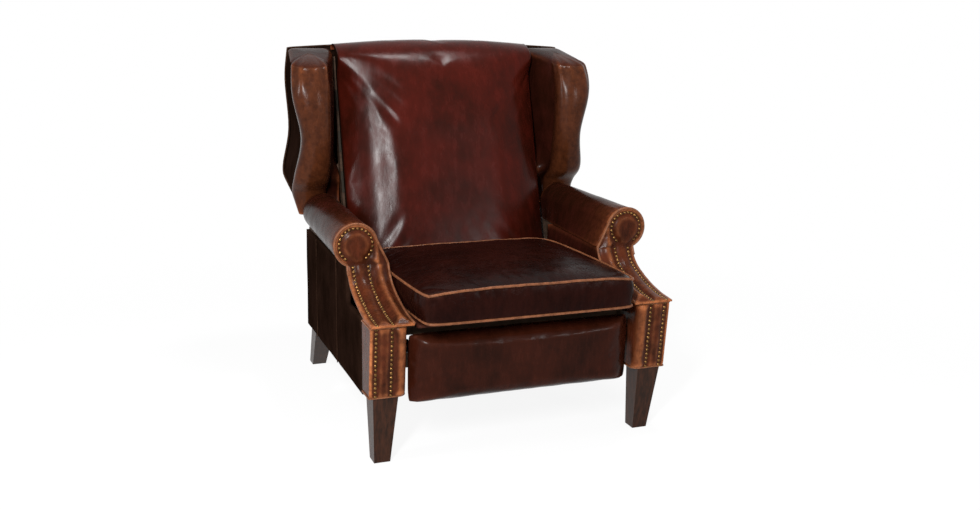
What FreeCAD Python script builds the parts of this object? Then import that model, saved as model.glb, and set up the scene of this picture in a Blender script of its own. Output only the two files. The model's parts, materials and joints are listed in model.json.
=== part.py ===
import FreeCAD, Part
import math
import os
import re

import Sketcher
from FreeCAD import Placement, Rotation, Vector

# A wingback recliner that opens when its sitter leans back.
# Millimetres. +Z is up and the chair faces -Y. X = 0 is the middle of the chair,
# Y = 0 the middle of its depth and Z = 0 the floor. Left is the sitter's left, +X.

SIZES = {
    # Legs
    "leg_height": 185,
    "leg_middle": 367,
    "rear_leg_foot_in": 18,
    "front_leg_top": 65,
    "front_leg_foot": 42,
    "front_leg_top_y": -368,
    "front_leg_foot_y": -346,
    "rear_leg_top": 58,
    "rear_leg_foot": 42,
    "rear_leg_top_y": 272,
    "rear_leg_foot_y": 449,
    "leg_bolt_radius": 4,
    "leg_bolt_in_leg": 40,
    "leg_bolt_in_frame": 30,
    # Wooden side frames
    "side_inner": 319,
    "side_outer": 400,
    "side_panel": 22,
    "frame_front": -340,
    "frame_rear": 302,
    "post_front": -395,
    "post_outer": 395,
    "post_depth": 105,
    "rear_post_depth": 60,
    "post_top": 374,
    "arm_front": -190,
    "arm_rail_top": 475,
    "arm_rail_tall": 35,
    "low_rail_tall": 45,
    # Covers of the sides
    "cover_thick": 10,
    "cover_hang": 8,
    "cover_top": 468,
    "post_cover_inner": 316,
    "post_cover_front_top": -420,
    "post_cover_front_foot": -404,
    "arm_pad_thick": 19,
    "arm_pad_foot": 388,
    "arm_pad_front": -330,
    "arm_pad_rear": 140,
    # Rolled arms
    "roll_radius": 57,
    "roll_x": 387,
    "roll_z": 527,
    "roll_rear": 245,
    "roll_rear_x": 374,
    "roll_rear_radius": 54.6,
    "roll_inner_foot": 300,
    "roll_rear_inner_foot": 318,
    "facing_inner": 303,
    "scroll_thick": 9,
    "scroll_radius": 55,
    "sweep_lip_y": -432,
    "sweep_lip": 5,
    "sweep_low_y": -328,
    "sweep_low_z": 394,
    "sweep_bend_y": -252,
    "sweep_bend_z": 420,
    "sweep_high_y": -220,
    "sweep_high_z": 442,
    # Nailheads
    "nail_radius": 4.6,
    "nail_height": 2.6,
    "nail_pitch": 11.5,
    "nail_lift": 0.25,
    "nail_outer_row": 395,
    "nail_inner_row": 355,
    "nail_scroll_radius": 44,
    # Cross rails of the base
    "cross_rail_thick": 22,
    "cross_rail_y": -200,
    "cross_rail_top": 240,
    "rear_panel_top": 320,
    # Steel mechanism, seen from the side
    "plate_thick": 4,
    "plate_gap": 1.5,
    "base_bar_z": 215,
    "base_bar_front": -150,
    "base_bar_rear": 230,
    "base_bar_half": 18,
    "back_pivot_y": 180,
    "back_pivot_z": 360,
    "swing_length": 110,
    "swing_start_angle": 14,
    "hanger_pivot_y": -120,
    "hanger_pivot_z": 372,
    "bracket_top_y": 265,
    "bracket_top_z": 525,
    "ear_half": 14,
    "link_half": 11,
    "pin_radius": 5,
    "pin_play": 0.08,
    "pin_end_gap": 0.4,
    "pin_head_radius": 9,
    "pin_head_thick": 2.4,
    "link_pivot_y": -290,
    "link_pivot_z": 305,
    "rear_link_length": 160,
    "rear_link_angle": -65,
    "front_link_length": 170,
    "front_link_angle": 127.3,
    "torque_tube_radius": 9,
    "tube_wall": 2,
    "torque_tube_reach": 50,
    # Seat
    "seat_rail_outer": 304,
    "seat_rail_thick": 22,
    "seat_rail_foot": 325,
    "seat_rail_tall": 35,
    "seat_front": -350,
    "seat_rear": 82,
    "seat_bar_z": 336,
    "seat_bar_half": 10,
    "seat_bar_front_in": 20,
    "seat_bar_rear_in": 10,
    "seat_ear_drop": 4,
    "slim_ear_half": 12,
    "deck_end_clear": 15.5,
    "deck_front": -425,
    "deck_thick": 17,
    "cushion_half": 283,
    "cushion_front": -470,
    "cushion_rear": 88,
    "cushion_border": 82,
    "cushion_crown": 104,
    "cushion_rear_tall": 69,
    "cushion_edge_drop": 24,
    "cushion_corner_pull": 9,
    "cushion_border_bulge": 8,
    "cushion_crest_share": 0.45,
    "border_drop_share": 0.4,
    "rear_drop_share": 0.5,
    "spring_wire": 1.9,
    "spring_bend": 10,
    "spring_half": 22,
    "spring_spacing": 96,
    # Back
    "back_foot_y": 205,
    "back_foot_z": 375,
    "back_lean_angle": 14.6,
    "back_frame_top": 968,
    "stile_inner": 282,
    "stile_outer": 309.5,
    "stile_thick": 25,
    "wing_rail_thick": 20,
    "top_rail_foot": 905,
    "wing_rail_foot": 600,
    "back_rail_tall": 58,
    "webbing_thick": 2,
    "webbing_wide": 60,
    "webbing_foot": 465,
    "webbing_pitch": 116,
    "back_pad_half": 305,
    "back_pad_foot": 395,
    "back_pad_crest": 1018,
    "back_pad_foot_y": 92,
    "back_pad_lumbar_y": 124,
    "back_pad_lumbar_z": 500,
    "back_pad_waist_y": 162,
    "back_pad_waist_z": 620,
    "back_pad_shoulder_y": 213,
    "back_pad_shoulder_z": 800,
    "back_pad_head_y": 270,
    "back_pad_head_z": 960,
    "back_pad_head_drop_share": 0.6,
    "back_pad_crest_y": 345,
    "crest_round": 14,
    "crest_rear_run": 35,
    "crest_rear_sink": 4,
    "crest_end_sink": 18,
    "frame_top_gap": 2,
    "back_pad_edge_drop": 78,
    "back_pad_arch": 14,
    "back_cover_inner": 405,
    "back_cover_thick": 10,
    "back_cover_foot": 345,
    "back_cover_low_y": 272,
    "back_cover_bend_y": 280,
    "back_cover_bend_z": 494,
    "back_cover_knee_z": 620,
    "back_cover_low_half": 300,
    "back_cover_top_sink": 12,
    # Wings
    "wing_inner": 311,
    "wing_roll_inner": 350,
    "wing_roll_depth": 42,
    "wing_foot_z": 515,
    "wing_foot_half": 434,
    "wing_foot_rear_half": 410,
    "wing_foot_front": 262,
    "wing_arm_z": 585,
    "wing_arm_half": 450,
    "wing_arm_rear_half": 440,
    "wing_arm_front": 257,
    "wing_belly_z": 640,
    "wing_belly_half": 452,
    "wing_belly_rear_half": 450,
    "wing_belly_front": 210,
    "wing_waist_z": 755,
    "wing_waist_half": 436,
    "wing_waist_rear_half": 430,
    "wing_waist_front": 184,
    "wing_ear_z": 900,
    "wing_ear_half": 461,
    "wing_ear_rear_half": 438,
    "wing_ear_front": 184,
    "wing_top_z": 1000,
    "wing_top_half": 450,
    "wing_top_rear_half": 430,
    "wing_top_front": 228,
    "wing_slope_front_z": 950,
    "wing_slope_rear_z": 994,
    "wing_board_inner": 395,
    "wing_board_thick": 14,
    "wing_board_rear_gap": 3,
    # Footrest
    "footrest_half": 291,
    "footrest_front": -417,
    "footrest_foot": 157,
    "footrest_top": 337,
    "footrest_pad_thick": 38,
    "footrest_end_pull": 14,
    "footrest_edge_in": 22,
    "footrest_edge_soft": 8,
    "footrest_edge_drop": 5,
    "footrest_face_in": 3,
    "footrest_face_edge": 18,
    "footrest_board_thick": 15,
    "footrest_board_half": 285,
    "footrest_board_inset": 6,
    "flange_wide": 28,
    "flange_beyond": 15,
    "bracket_web": 18,
    "bracket_arm_drop": 8,
    # Screws
    "screw_radius": 3,
    "screw_head_radius": 6.5,
    "screw_head_thick": 1.2,
    "screw_length": 20,
    "bolt_head_thick": 3.5,
}

doc = FreeCAD.newDocument("wingback_recliner")
sheet = doc.addObject("Spreadsheet::Sheet", "sizes")
NODES = []


def fill_sheet():
    """Each size has a row: its name, its plain number, and the name again as the number's alias."""
    for row, (name, value) in enumerate(SIZES.items(), start=1):
        sheet.set(f"A{row}", name)
        sheet.set(f"B{row}", str(value))
        sheet.setAlias(f"B{row}", name)
    doc.recompute()


def size(name):
    return float(getattr(sheet, name))


def bound(text):
    """The expression text with every size's name pointing at the sheet."""
    return re.sub(r"[a-z]+(?:_[a-z]+)+", lambda word: "sizes." + word.group(0), str(text))


def keep(label, thing):
    """Marks an object as a finished sub-part."""
    thing.Label = label
    NODES.append(thing)
    return thing


def feature(label, shape):
    thing = doc.addObject("Part::Feature", label)
    thing.Shape = shape
    thing.Placement = Placement()
    return keep(label, thing)


def loose(name, shape):
    """An unnamed piece of a group."""
    thing = doc.addObject("Part::Feature", name)
    thing.Shape = shape
    return thing


def box(name, x, y, z, long, wide, tall):
    """A block from its lowest corner, all six values being expressions of sizes."""
    block = doc.addObject("Part::Box", name)
    for what, text in (("Length", long), ("Width", wide), ("Height", tall)):
        block.setExpression(what, bound(text))
    for what, text in (("x", x), ("y", y), ("z", z)):
        block.setExpression("Placement.Base." + what, bound(text))
    return block


def side_box(name, side, x, y, z, long, wide, tall):
    """A block on the left (side 1) or, mirrored, on the right (side -1)."""
    start = x if side > 0 else f"-({x}) - ({long})"
    return box(name, start, y, z, long, wide, tall)


def rod(name, side, x, y, z, radius, long, axis="x"):
    """A round bar from its inner end outwards along X, or upwards along Z."""
    bar = doc.addObject("Part::Cylinder", name)
    bar.setExpression("Radius", bound(radius))
    bar.setExpression("Height", bound(long))
    if axis == "x":
        bar.Placement = Placement(Vector(), Rotation(Vector(0, 1, 0), 90 * side))
    for what, text in (("x", f"{side}*({x})"), ("y", y), ("z", z)):
        bar.setExpression("Placement.Base." + what, bound(text))
    return bar


def joined(name, things):
    whole = doc.addObject("Part::MultiFuse", name)
    whole.Shapes = things
    return whole


def grouped(label, things):
    whole = doc.addObject("Part::Compound", label)
    whole.Links = things
    return keep(label, whole)


def drilled(label, block, rods):
    """The block with the rods' holes in it."""
    rest = doc.addObject("Part::Cut", label)
    rest.Base = block
    rest.Tool = rods[0] if len(rods) == 1 else joined(label + "_holes", rods)
    return keep(label, rest)


def outline(start, *steps):
    """A closed wire of straight steps, each an end, and arcs, each a point on the way and an end."""
    edges = []
    here = start
    for step in steps:
        if isinstance(step, tuple):
            edges.append(Part.Arc(here, step[0], step[1]).toShape())
            here = step[1]
        else:
            edges.append(Part.makeLine(here, step))
            here = step
    if (here - start).Length > 1e-6:
        edges.append(Part.makeLine(here, start))
    return Part.Wire(edges)


def prism(wire, direction):
    return Part.Face(wire).extrude(direction)


def mirrored(shape):
    return shape.mirror(Vector(0, 0, 0), Vector(1, 0, 0))


def sided(shape, side):
    return shape if side > 0 else mirrored(shape)


def side_name(side):
    return "left" if side > 0 else "right"


def bar(start, end, half, x, thick):
    """A flat steel bar in the plane of the side, with round ends about two (y, z) points."""
    along = Vector(0, end[0] - start[0], end[1] - start[1]).normalize()
    across = Vector(1, 0, 0).cross(along) * half
    one = Vector(x, *start)
    two = Vector(x, *end)
    wire = outline(
        one + across,
        (one - along * half, one - across),
        two - across,
        (two + along * half, two + across),
    )
    return prism(wire, Vector(thick, 0, 0))


def hole(point, radius, x, thick):
    return Part.makeCylinder(radius, thick, Vector(x, *point), Vector(1, 0, 0))


def plate(bars, holes, x, thick):
    """Bars fused to one plate, with its holes: each bar is (start, end, half), each hole (point, radius)."""
    shapes = [bar(start, end, half, x, thick) for start, end, half in bars]
    whole = shapes[0].multiFuse(shapes[1:]).removeSplitter() if shapes[1:] else shapes[0]
    return whole.cut([hole(point, radius, x, thick) for point, radius in holes])


# Where a loft across the chair has its sections, as shares of its half width
LOFT_SHARES = (-1, -0.94, -0.85, -0.7, -0.45, 0, 0.45, 0.7, 0.85, 0.94, 1)


# Places that several pieces share

def turned(point, length, degrees):
    """The point at a length and angle from another, the angle measured from +Y towards +Z."""
    angle = math.radians(degrees)
    return (point[0] + length * math.cos(angle), point[1] + length * math.sin(angle))


def places():
    """The pivots, as (y, z) at rest, and the inner face of each layer of steel."""
    back_pivot = (size("back_pivot_y"), size("back_pivot_z"))
    hanger_pivot = (size("hanger_pivot_y"), size("hanger_pivot_z"))
    hang = -90 + size("swing_start_angle")
    link_pivot = (size("link_pivot_y"), size("link_pivot_z"))
    knee = turned(link_pivot, size("rear_link_length"), size("rear_link_angle"))
    toe = turned(knee, size("front_link_length"), size("front_link_angle"))
    step = size("plate_thick") + size("plate_gap")
    base_layer = size("side_inner") - size("plate_thick")
    return {
        "back_pivot": back_pivot,
        "hanger_pivot": hanger_pivot,
        "seat_rear_pivot": turned(back_pivot, size("swing_length"), hang),
        "seat_front_pivot": turned(hanger_pivot, size("swing_length"), hang),
        "link_pivot": link_pivot,
        "knee": knee,
        "toe": toe,
        "base_layer": base_layer,
        "swing_layer": base_layer - step,
        "seat_layer": base_layer - 2 * step,
        "rear_link_layer": base_layer - 3 * step,
        "front_link_layer": base_layer - 4 * step,
        "bracket_layer": base_layer - 5 * step,
    }


def back_y(height, behind=0.0):
    """The back frame's front face at a height, or a face that far behind it."""
    rise = height - size("back_foot_z")
    return size("back_foot_y") + rise * math.tan(math.radians(size("back_lean_angle"))) + behind


# Legs

def square_sketch(body, name, cell, height, shift, inward="0*leg_height"):
    """A square about the body's axis, its side and its height bound to the sheet."""
    sketch = body.newObject("Sketcher::SketchObject", name)
    ground = next(f for f in body.Origin.OriginFeatures if f.Role == "XY_Plane")
    sketch.AttachmentSupport = [(ground, "")]
    sketch.MapMode = "FlatFace"
    half = size(cell) / 2
    corners = [Vector(-half, -half), Vector(half, -half), Vector(half, half), Vector(-half, half)]
    for corner in range(4):
        sketch.addGeometry(Part.LineSegment(corners[corner], corners[(corner + 1) % 4]), False)
    for corner in range(4):
        sketch.addConstraint(Sketcher.Constraint("Coincident", corner, 2, (corner + 1) % 4, 1))
    for edge, kind in ((0, "Horizontal"), (1, "Vertical"), (2, "Horizontal"), (3, "Vertical")):
        sketch.addConstraint(Sketcher.Constraint(kind, edge))
    sketch.addConstraint(Sketcher.Constraint("Symmetric", 0, 1, 1, 2, -1, 1))
    for edge, kind, word in ((0, "DistanceX", "across"), (1, "DistanceY", "along")):
        number = sketch.addConstraint(Sketcher.Constraint(kind, edge, 1, edge, 2, 2 * half))
        sketch.renameConstraint(number, word)
        sketch.setExpression("Constraints." + word, bound(cell))
    sketch.setExpression("AttachmentOffset.Base.z", bound(height))
    sketch.setExpression("AttachmentOffset.Base.y", bound(shift))
    sketch.setExpression("AttachmentOffset.Base.x", bound(inward))
    return sketch


def legs():
    """Square tapered legs, the rear ones raked well back, each drilled for its bolt."""
    for end in ("front", "rear"):
        for side in (1, -1):
            name = f"{end}_{side_name(side)}_leg"
            body = doc.addObject("PartDesign::Body", name + "_blank")
            inward = f"{-side}*rear_leg_foot_in" if end == "rear" else "0*leg_height"
            foot = square_sketch(body, name + "_foot", end + "_leg_foot", "0*leg_height",
                                 f"{end}_leg_foot_y", inward)
            head = square_sketch(body, name + "_head", end + "_leg_top", "leg_height",
                                 f"{end}_leg_top_y")
            loft = body.newObject("PartDesign::AdditiveLoft", name + "_taper")
            loft.Profile = foot
            loft.Sections = [head]
            body.Tip = loft
            body.setExpression("Placement.Base.x", bound(f"{side}*leg_middle"))
            drilled(name, body, [leg_bolt(name + "_hole", side, end)])


def leg_bolt(name, side, end):
    return rod(name, side, "leg_middle", f"{end}_leg_top_y", "leg_height - leg_bolt_in_leg",
               "leg_bolt_radius", "leg_bolt_in_leg + leg_bolt_in_frame", axis="z")


# Sides of the base

def base_bolt(name, side, place):
    """A screw through the mechanism's base plate into the side frame."""
    return rod(name, side, "side_inner - plate_thick", place, "base_bar_z", "screw_radius", "screw_length")


BASE_BOLT_PLACES = (
    "base_bar_front + base_bar_half/2",
    "(base_bar_front + base_bar_rear)/2",
    "base_bar_rear - base_bar_half/2",
)


def side_frames():
    """Panel, posts and rails of each side, glued up as one wooden frame."""
    for side in (1, -1):
        name = side_name(side)
        beyond = "side_inner + side_panel"
        spare = "side_outer - side_inner - side_panel"
        pieces = [
            side_box(name + "_panel", side, "side_inner", "frame_front", "leg_height",
                     "side_panel", "frame_rear - frame_front", "post_top - leg_height"),
            side_box(name + "_high_panel", side, "side_inner", "arm_front", "post_top",
                     "side_panel", "frame_rear - arm_front", "arm_rail_top - post_top"),
            side_box(name + "_front_post", side, beyond, "post_front", "leg_height",
                     "post_outer - side_inner - side_panel", "post_depth", "post_top - leg_height"),
            side_box(name + "_rear_post", side, beyond, "frame_rear - rear_post_depth", "leg_height",
                     spare, "rear_post_depth", "arm_rail_top - leg_height"),
            side_box(name + "_arm_rail", side, beyond, "arm_front", "arm_rail_top - arm_rail_tall",
                     spare, "frame_rear - arm_front", "arm_rail_tall"),
            side_box(name + "_low_rail", side, beyond, "post_front + post_depth", "leg_height",
                     spare, "frame_rear - rear_post_depth - post_front - post_depth", "low_rail_tall"),
        ]
        holes = [leg_bolt(f"{name}_{end}_socket", side, end) for end in ("front", "rear")]
        holes += [base_bolt(f"{name}_plate_socket", side, place) for place in BASE_BOLT_PLACES]
        drilled(name + "_side_frame", joined(name + "_frame_blank", pieces), holes)


def outside_covers():
    for side in (1, -1):
        name = side_name(side)
        low = side_box(name + "_low_cover", side, "side_outer", "frame_front", "leg_height - cover_hang",
                       "cover_thick", "frame_rear - frame_front", "post_top - leg_height + cover_hang")
        high = side_box(name + "_high_cover", side, "side_outer", "arm_front", "post_top",
                        "cover_thick", "frame_rear - arm_front", "cover_top - post_top")
        keep(name + "_outside_cover", joined(name + "_outside_cover", [low, high]))


def post_covers():
    """Padded leather over each front post, its front face leaning forward at the top."""
    inner = size("post_cover_inner")
    wide = size("side_outer") + size("cover_thick") - inner
    wire = outline(
        Vector(inner, size("post_cover_front_foot"), size("leg_height")),
        Vector(inner, size("post_cover_front_top"), size("post_top")),
        Vector(inner, size("frame_front"), size("post_top")),
        Vector(inner, size("frame_front"), size("leg_height")),
    )
    core_x = size("side_inner") + size("side_panel")
    core = Part.makeBox(
        size("post_outer") - core_x,
        size("post_depth"),
        size("post_top") - size("leg_height"),
        Vector(core_x, size("post_front"), size("leg_height")),
    )
    shape = prism(wire, Vector(wide, 0, 0)).cut(core)
    for side in (1, -1):
        feature(side_name(side) + "_post_cover", sided(shape, side))


def inner_arm_pads():
    """The pad inside each arm, its front edge following the sweep of the arm's facing."""
    inner = size("side_inner") - size("arm_pad_thick")
    (top, high, bend), _ = sweep_arcs(inner)
    wire = outline(
        Vector(inner, size("arm_pad_front"), size("arm_pad_foot")),
        bend,
        (high, top),
        Vector(inner, size("arm_pad_rear"), size("arm_rail_top")),
        Vector(inner, size("arm_pad_rear"), size("arm_pad_foot")),
    )
    pad = prism(wire, Vector(size("facing_inner") - inner, 0, 0))
    behind = Part.makeBox(
        size("side_inner") - size("facing_inner"),
        size("arm_pad_rear") - size("arm_front"),
        size("arm_rail_top") - size("arm_pad_foot"),
        Vector(size("facing_inner"), size("arm_front"), size("arm_pad_foot")),
    )
    for side in (1, -1):
        feature(side_name(side) + "_inner_arm_pad", sided(pad.fuse(behind).removeSplitter(), side))


# Where the arm roll's arcs pass and end, in degrees from +X
ROLL_TOP_ANGLES = (45, 90)
ROLL_INNER_ANGLES = (130, 170)


def roll_section(y, x, radius, inner_foot):
    """A slice of the left arm's roll: an arc over the top and a flat flank down its inner side."""
    middle = Vector(x, y, size("roll_z") + size("roll_radius") - radius)
    foot = size("arm_rail_top")
    reach = math.sqrt(radius ** 2 - (middle.z - foot) ** 2)
    low = math.degrees(math.asin((foot - middle.z) / radius))

    def rim(degrees):
        angle = math.radians(degrees)
        return middle + Vector(radius * math.cos(angle), 0, radius * math.sin(angle))

    return outline(
        Vector(middle.x + reach, y, foot),
        (rim(low / 2), rim(0)),
        tuple(rim(angle) for angle in ROLL_TOP_ANGLES),
        tuple(rim(angle) for angle in ROLL_INNER_ANGLES),
        Vector(inner_foot, y, foot),
    )


def arm_rolls():
    """The rolled top of each arm, with its inner flank, slimmer towards the rear."""
    front = roll_section(size("arm_front"), size("roll_x"), size("roll_radius"), size("roll_inner_foot"))
    rear = roll_section(size("roll_rear"), size("roll_rear_x"), size("roll_rear_radius"),
                        size("roll_rear_inner_foot"))
    shape = Part.makeLoft([front, rear], True, True)
    for side in (1, -1):
        feature(side_name(side) + "_arm_roll", sided(shape, side))


def sweep_arcs(x):
    """The concave line from the scroll down to the lip over the post, as two arcs."""
    top = Vector(x, size("arm_front") - size("scroll_thick"), size("arm_rail_top"))
    bend = Vector(x, size("sweep_bend_y"), size("sweep_bend_z"))
    lip = Vector(x, size("sweep_lip_y"), size("post_top") + size("sweep_lip"))
    high = Vector(x, size("sweep_high_y"), size("sweep_high_z"))
    low = Vector(x, size("sweep_low_y"), size("sweep_low_z"))
    return (top, high, bend), (bend, low, lip)


def arm_facings():
    """The front of each arm: the round scroll face and the sweep that runs down to the post."""
    inner = size("facing_inner")
    wide = size("side_outer") + size("cover_thick") - inner
    upper, lower = sweep_arcs(inner)
    back = size("arm_front")
    face_y = back - size("scroll_thick")
    wire = outline(
        Vector(inner, back, size("arm_rail_top")),
        upper[0],
        (upper[1], upper[2]),
        (lower[1], lower[2]),
        Vector(inner, size("sweep_lip_y"), size("post_top")),
        Vector(inner, back, size("post_top")),
    )
    sweep = prism(wire, Vector(wide, 0, 0))
    face = Part.makeCylinder(
        size("scroll_radius"),
        size("scroll_thick"),
        Vector(size("roll_x"), face_y, size("roll_z")),
        Vector(0, 1, 0),
    )
    neck = prism(outline(
        Vector(inner, face_y, size("arm_rail_top")),
        Vector(size("roll_x") - size("scroll_radius"), face_y, size("roll_z")),
        Vector(size("roll_x"), face_y, size("roll_z")),
        Vector(size("roll_x"), face_y, size("arm_rail_top")),
    ), Vector(0, size("scroll_thick"), 0))
    shape = sweep.multiFuse([face, neck])
    for side in (1, -1):
        feature(side_name(side) + "_arm_facing", sided(shape, side))


def nail(point, outward):
    """One domed head: the cap of a ball, its flat side on the leather."""
    radius = size("nail_radius")
    height = size("nail_height")
    ball = (radius ** 2 + height ** 2) / (2 * height)
    rim = Vector(radius, 0, 0)
    crown = Vector(0, 0, height)
    half_angle = math.asin(radius / ball) / 2
    middle = Vector(ball * math.sin(half_angle), 0, ball * math.cos(half_angle) - ball + height)
    profile = outline(Vector(0, 0, 0), rim, (middle, crown))
    dome = Part.Face(profile).revolve(Vector(0, 0, 0), Vector(0, 0, 1), 360)
    turn = Rotation(Vector(0, 0, 1), outward)
    dome.Placement = Placement(point + outward * size("nail_lift"), turn)
    return dome


def spaced_nails(edge, x, outward_of):
    """Nails along an edge at an even pitch, moved to one row's x."""
    count = max(2, round(edge.Length / size("nail_pitch")))
    nails = []
    for index in range(count):
        there = edge.getParameterByLength(edge.Length * (index + 0.5) / count)
        point = edge.valueAt(there)
        point.x = x
        nails.append(nail(point, outward_of(edge.tangentAt(there))))
    return nails


def nailheads():
    """Two rows up each post and sweep, which meet round the scroll."""
    def outward(tangent):
        normal = Vector(1, 0, 0).cross(tangent)
        return normal if normal.y < 0 else normal * -1

    lean_foot = Vector(0, size("post_cover_front_foot"), size("leg_height"))
    lean_top = Vector(0, size("post_cover_front_top"), size("post_top"))
    nails = []
    for row in (size("nail_outer_row"), size("nail_inner_row")):
        nails += spaced_nails(Part.makeLine(lean_foot, lean_top), row, outward)
        for arc in sweep_arcs(0):
            nails += spaced_nails(Part.Arc(*arc).toShape(), row, outward)
    middle = Vector(size("roll_x"), size("arm_front") - size("scroll_thick"), size("roll_z"))
    radius = size("nail_scroll_radius")
    ring = [math.radians(angle) for angle in (-52, 90, 232)]
    start, top, end = (middle + Vector(radius * math.cos(a), 0, radius * math.sin(a)) for a in ring)
    scroll = Part.Arc(start, top, end).toShape()
    count = round(scroll.Length / size("nail_pitch"))
    for index in range(count + 1):
        there = scroll.getParameterByLength(scroll.Length * index / count)
        nails.append(nail(scroll.valueAt(there), Vector(0, -1, 0)))
    feature("nailheads", Part.makeCompound(nails + [mirrored(one) for one in nails]))


def base_rails():
    """What holds the side frames apart: a rail under the seat and the covered panel at the rear."""
    keep("base_cross_rail", box("base_cross_rail", "-side_inner", "cross_rail_y", "leg_height",
                                "2*side_inner", "cross_rail_thick", "cross_rail_top - leg_height"))
    keep("base_rear_panel", box("base_rear_panel", "-side_inner", "frame_rear - cross_rail_thick",
                                "leg_height", "2*side_inner", "cross_rail_thick",
                                "rear_panel_top - leg_height"))


# Steel mechanism

def base_plates(at):
    """The plate on each side frame that carries the back's and the hanger's pivots."""
    x = at["base_layer"]
    low = size("base_bar_z")
    pin = size("pin_radius")
    ends = ((size("base_bar_front"), low), (size("base_bar_rear"), low))
    bars = [(ends[0], ends[1], size("base_bar_half"))]
    for pivot in (at["back_pivot"], at["hanger_pivot"]):
        bars.append(((pivot[0], low), pivot, size("ear_half")))
    holes = [(at["back_pivot"], pin), (at["hanger_pivot"], pin)]
    half = size("base_bar_half") / 2
    for y in (ends[0][0] + half, (ends[0][0] + ends[1][0]) / 2, ends[1][0] - half):
        holes.append(((y, low), size("screw_radius")))
    shape = plate(bars, holes, x, size("plate_thick"))
    for side in (1, -1):
        feature(side_name(side) + "_base_plate", sided(shape, side))


def base_screws():
    """The legs' bolts, and the screws of the base plates, each with a flat head on the plate."""
    screws = [leg_bolt(f"{end}_bolt", side, end) for end in ("front", "rear") for side in (1, -1)]
    for side in (1, -1):
        for place in BASE_BOLT_PLACES:
            shank = base_bolt("base_shank", side, place)
            head = rod("base_head", side, "side_inner - plate_thick - bolt_head_thick", place,
                       "base_bar_z", "screw_head_radius", "bolt_head_thick")
            screws.append(joined("base_screw", [shank, head]))
    grouped("base_screws", screws)


def back_brackets(at):
    """The bell crank on each side: its upper arm carries the back, its lower arm the seat."""
    x = at["swing_layer"]
    running = size("pin_radius") + size("pin_play")
    top = (size("bracket_top_y"), size("bracket_top_z"))
    bars = [
        (at["back_pivot"], top, size("ear_half")),
        (at["back_pivot"], at["seat_rear_pivot"], size("ear_half")),
    ]
    holes = [(at["back_pivot"], running), (at["seat_rear_pivot"], running)]
    holes += [(spot, size("screw_radius")) for spot in bracket_screw_spots(at)]
    shape = plate(bars, holes, x, size("plate_thick"))
    for side in (1, -1):
        feature(side_name(side) + "_back_bracket", sided(shape, side))


def bracket_screw_spots(at):
    """Two places on the bracket's upper arm, behind the stile."""
    foot = at["back_pivot"]
    top = (size("bracket_top_y"), size("bracket_top_z"))
    return [(foot[0] + (top[0] - foot[0]) * share, foot[1] + (top[1] - foot[1]) * share)
            for share in (0.67, 0.97)]


def front_hangers(at):
    """The two swing links that carry the seat's front, parallel to the brackets' lower arms."""
    running = size("pin_radius") + size("pin_play")
    holes = [(at["hanger_pivot"], running), (at["seat_front_pivot"], running)]
    bars = [(at["hanger_pivot"], at["seat_front_pivot"], size("slim_ear_half"))]
    shape = plate(bars, holes, at["swing_layer"], size("plate_thick"))
    feature("front_hangers", Part.makeCompound([shape, mirrored(shape)]))


SEAT_SCREW_PLACES = (-240, -30, 60)


def seat_plates(at):
    """The plate on each seat rail, with ears down to its two hanging pivots and the footrest's."""
    bar_z = size("seat_bar_z")
    bar_half = size("seat_bar_half")
    front = (size("seat_front") + size("seat_bar_front_in"), bar_z)
    rear = (size("seat_rear") - size("seat_bar_rear_in"), bar_z)
    ear = size("slim_ear_half")
    bars = [(front, rear, bar_half), (rear, at["seat_rear_pivot"], ear)]
    for pivot in (at["seat_front_pivot"], at["link_pivot"]):
        bars.append(((pivot[0], bar_z - size("seat_ear_drop")), pivot, ear))
    pin = size("pin_radius")
    holes = [(at["seat_rear_pivot"], pin), (at["seat_front_pivot"], pin), (at["link_pivot"], pin)]
    holes += [((y, bar_z), size("screw_radius")) for y in SEAT_SCREW_PLACES]
    shape = plate(bars, holes, at["seat_layer"], size("plate_thick"))
    for side in (1, -1):
        feature(side_name(side) + "_seat_plate", sided(shape, side))


def footrest_links(at):
    """Two folding links on each side, from the seat plate to the knee and on to the footrest."""
    running = size("pin_radius") + size("pin_play")
    pin = size("pin_radius")
    half = size("link_half")
    thick = size("plate_thick")
    rear = plate([(at["link_pivot"], at["knee"], half)],
                 [(at["link_pivot"], running), (at["knee"], pin)], at["rear_link_layer"], thick)
    front = plate([(at["knee"], at["toe"], half)],
                  [(at["knee"], running), (at["toe"], running)], at["front_link_layer"], thick)
    for side in (1, -1):
        feature(side_name(side) + "_rear_footrest_link", sided(rear, side))
        feature(side_name(side) + "_front_footrest_link", sided(front, side))


def torque_tube(at):
    """The tube that makes the two rear links turn together."""
    centre = turned(at["link_pivot"], size("torque_tube_reach"), size("rear_link_angle"))
    inner = at["rear_link_layer"]
    bar = Part.makeCylinder(size("torque_tube_radius"), 2 * inner, Vector(-inner, *centre), Vector(1, 0, 0))
    bore_radius = size("torque_tube_radius") - size("tube_wall")
    bore = Part.makeCylinder(bore_radius, 2 * inner, Vector(-inner, *centre), Vector(1, 0, 0))
    feature("footrest_torque_tube", bar.cut(bore))


def pin_shape(point, fixed_x, far_x, head_at):
    """A pivot pin along X from its fixed end to its far end, with a head past one of them."""
    low, high = sorted((fixed_x, far_x))
    pin = hole(point, size("pin_radius"), low, high - low)
    head_low = high if head_at == "outer" else low - size("pin_head_thick")
    return pin.fuse(hole(point, size("pin_head_radius"), head_low, size("pin_head_thick")))


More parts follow.
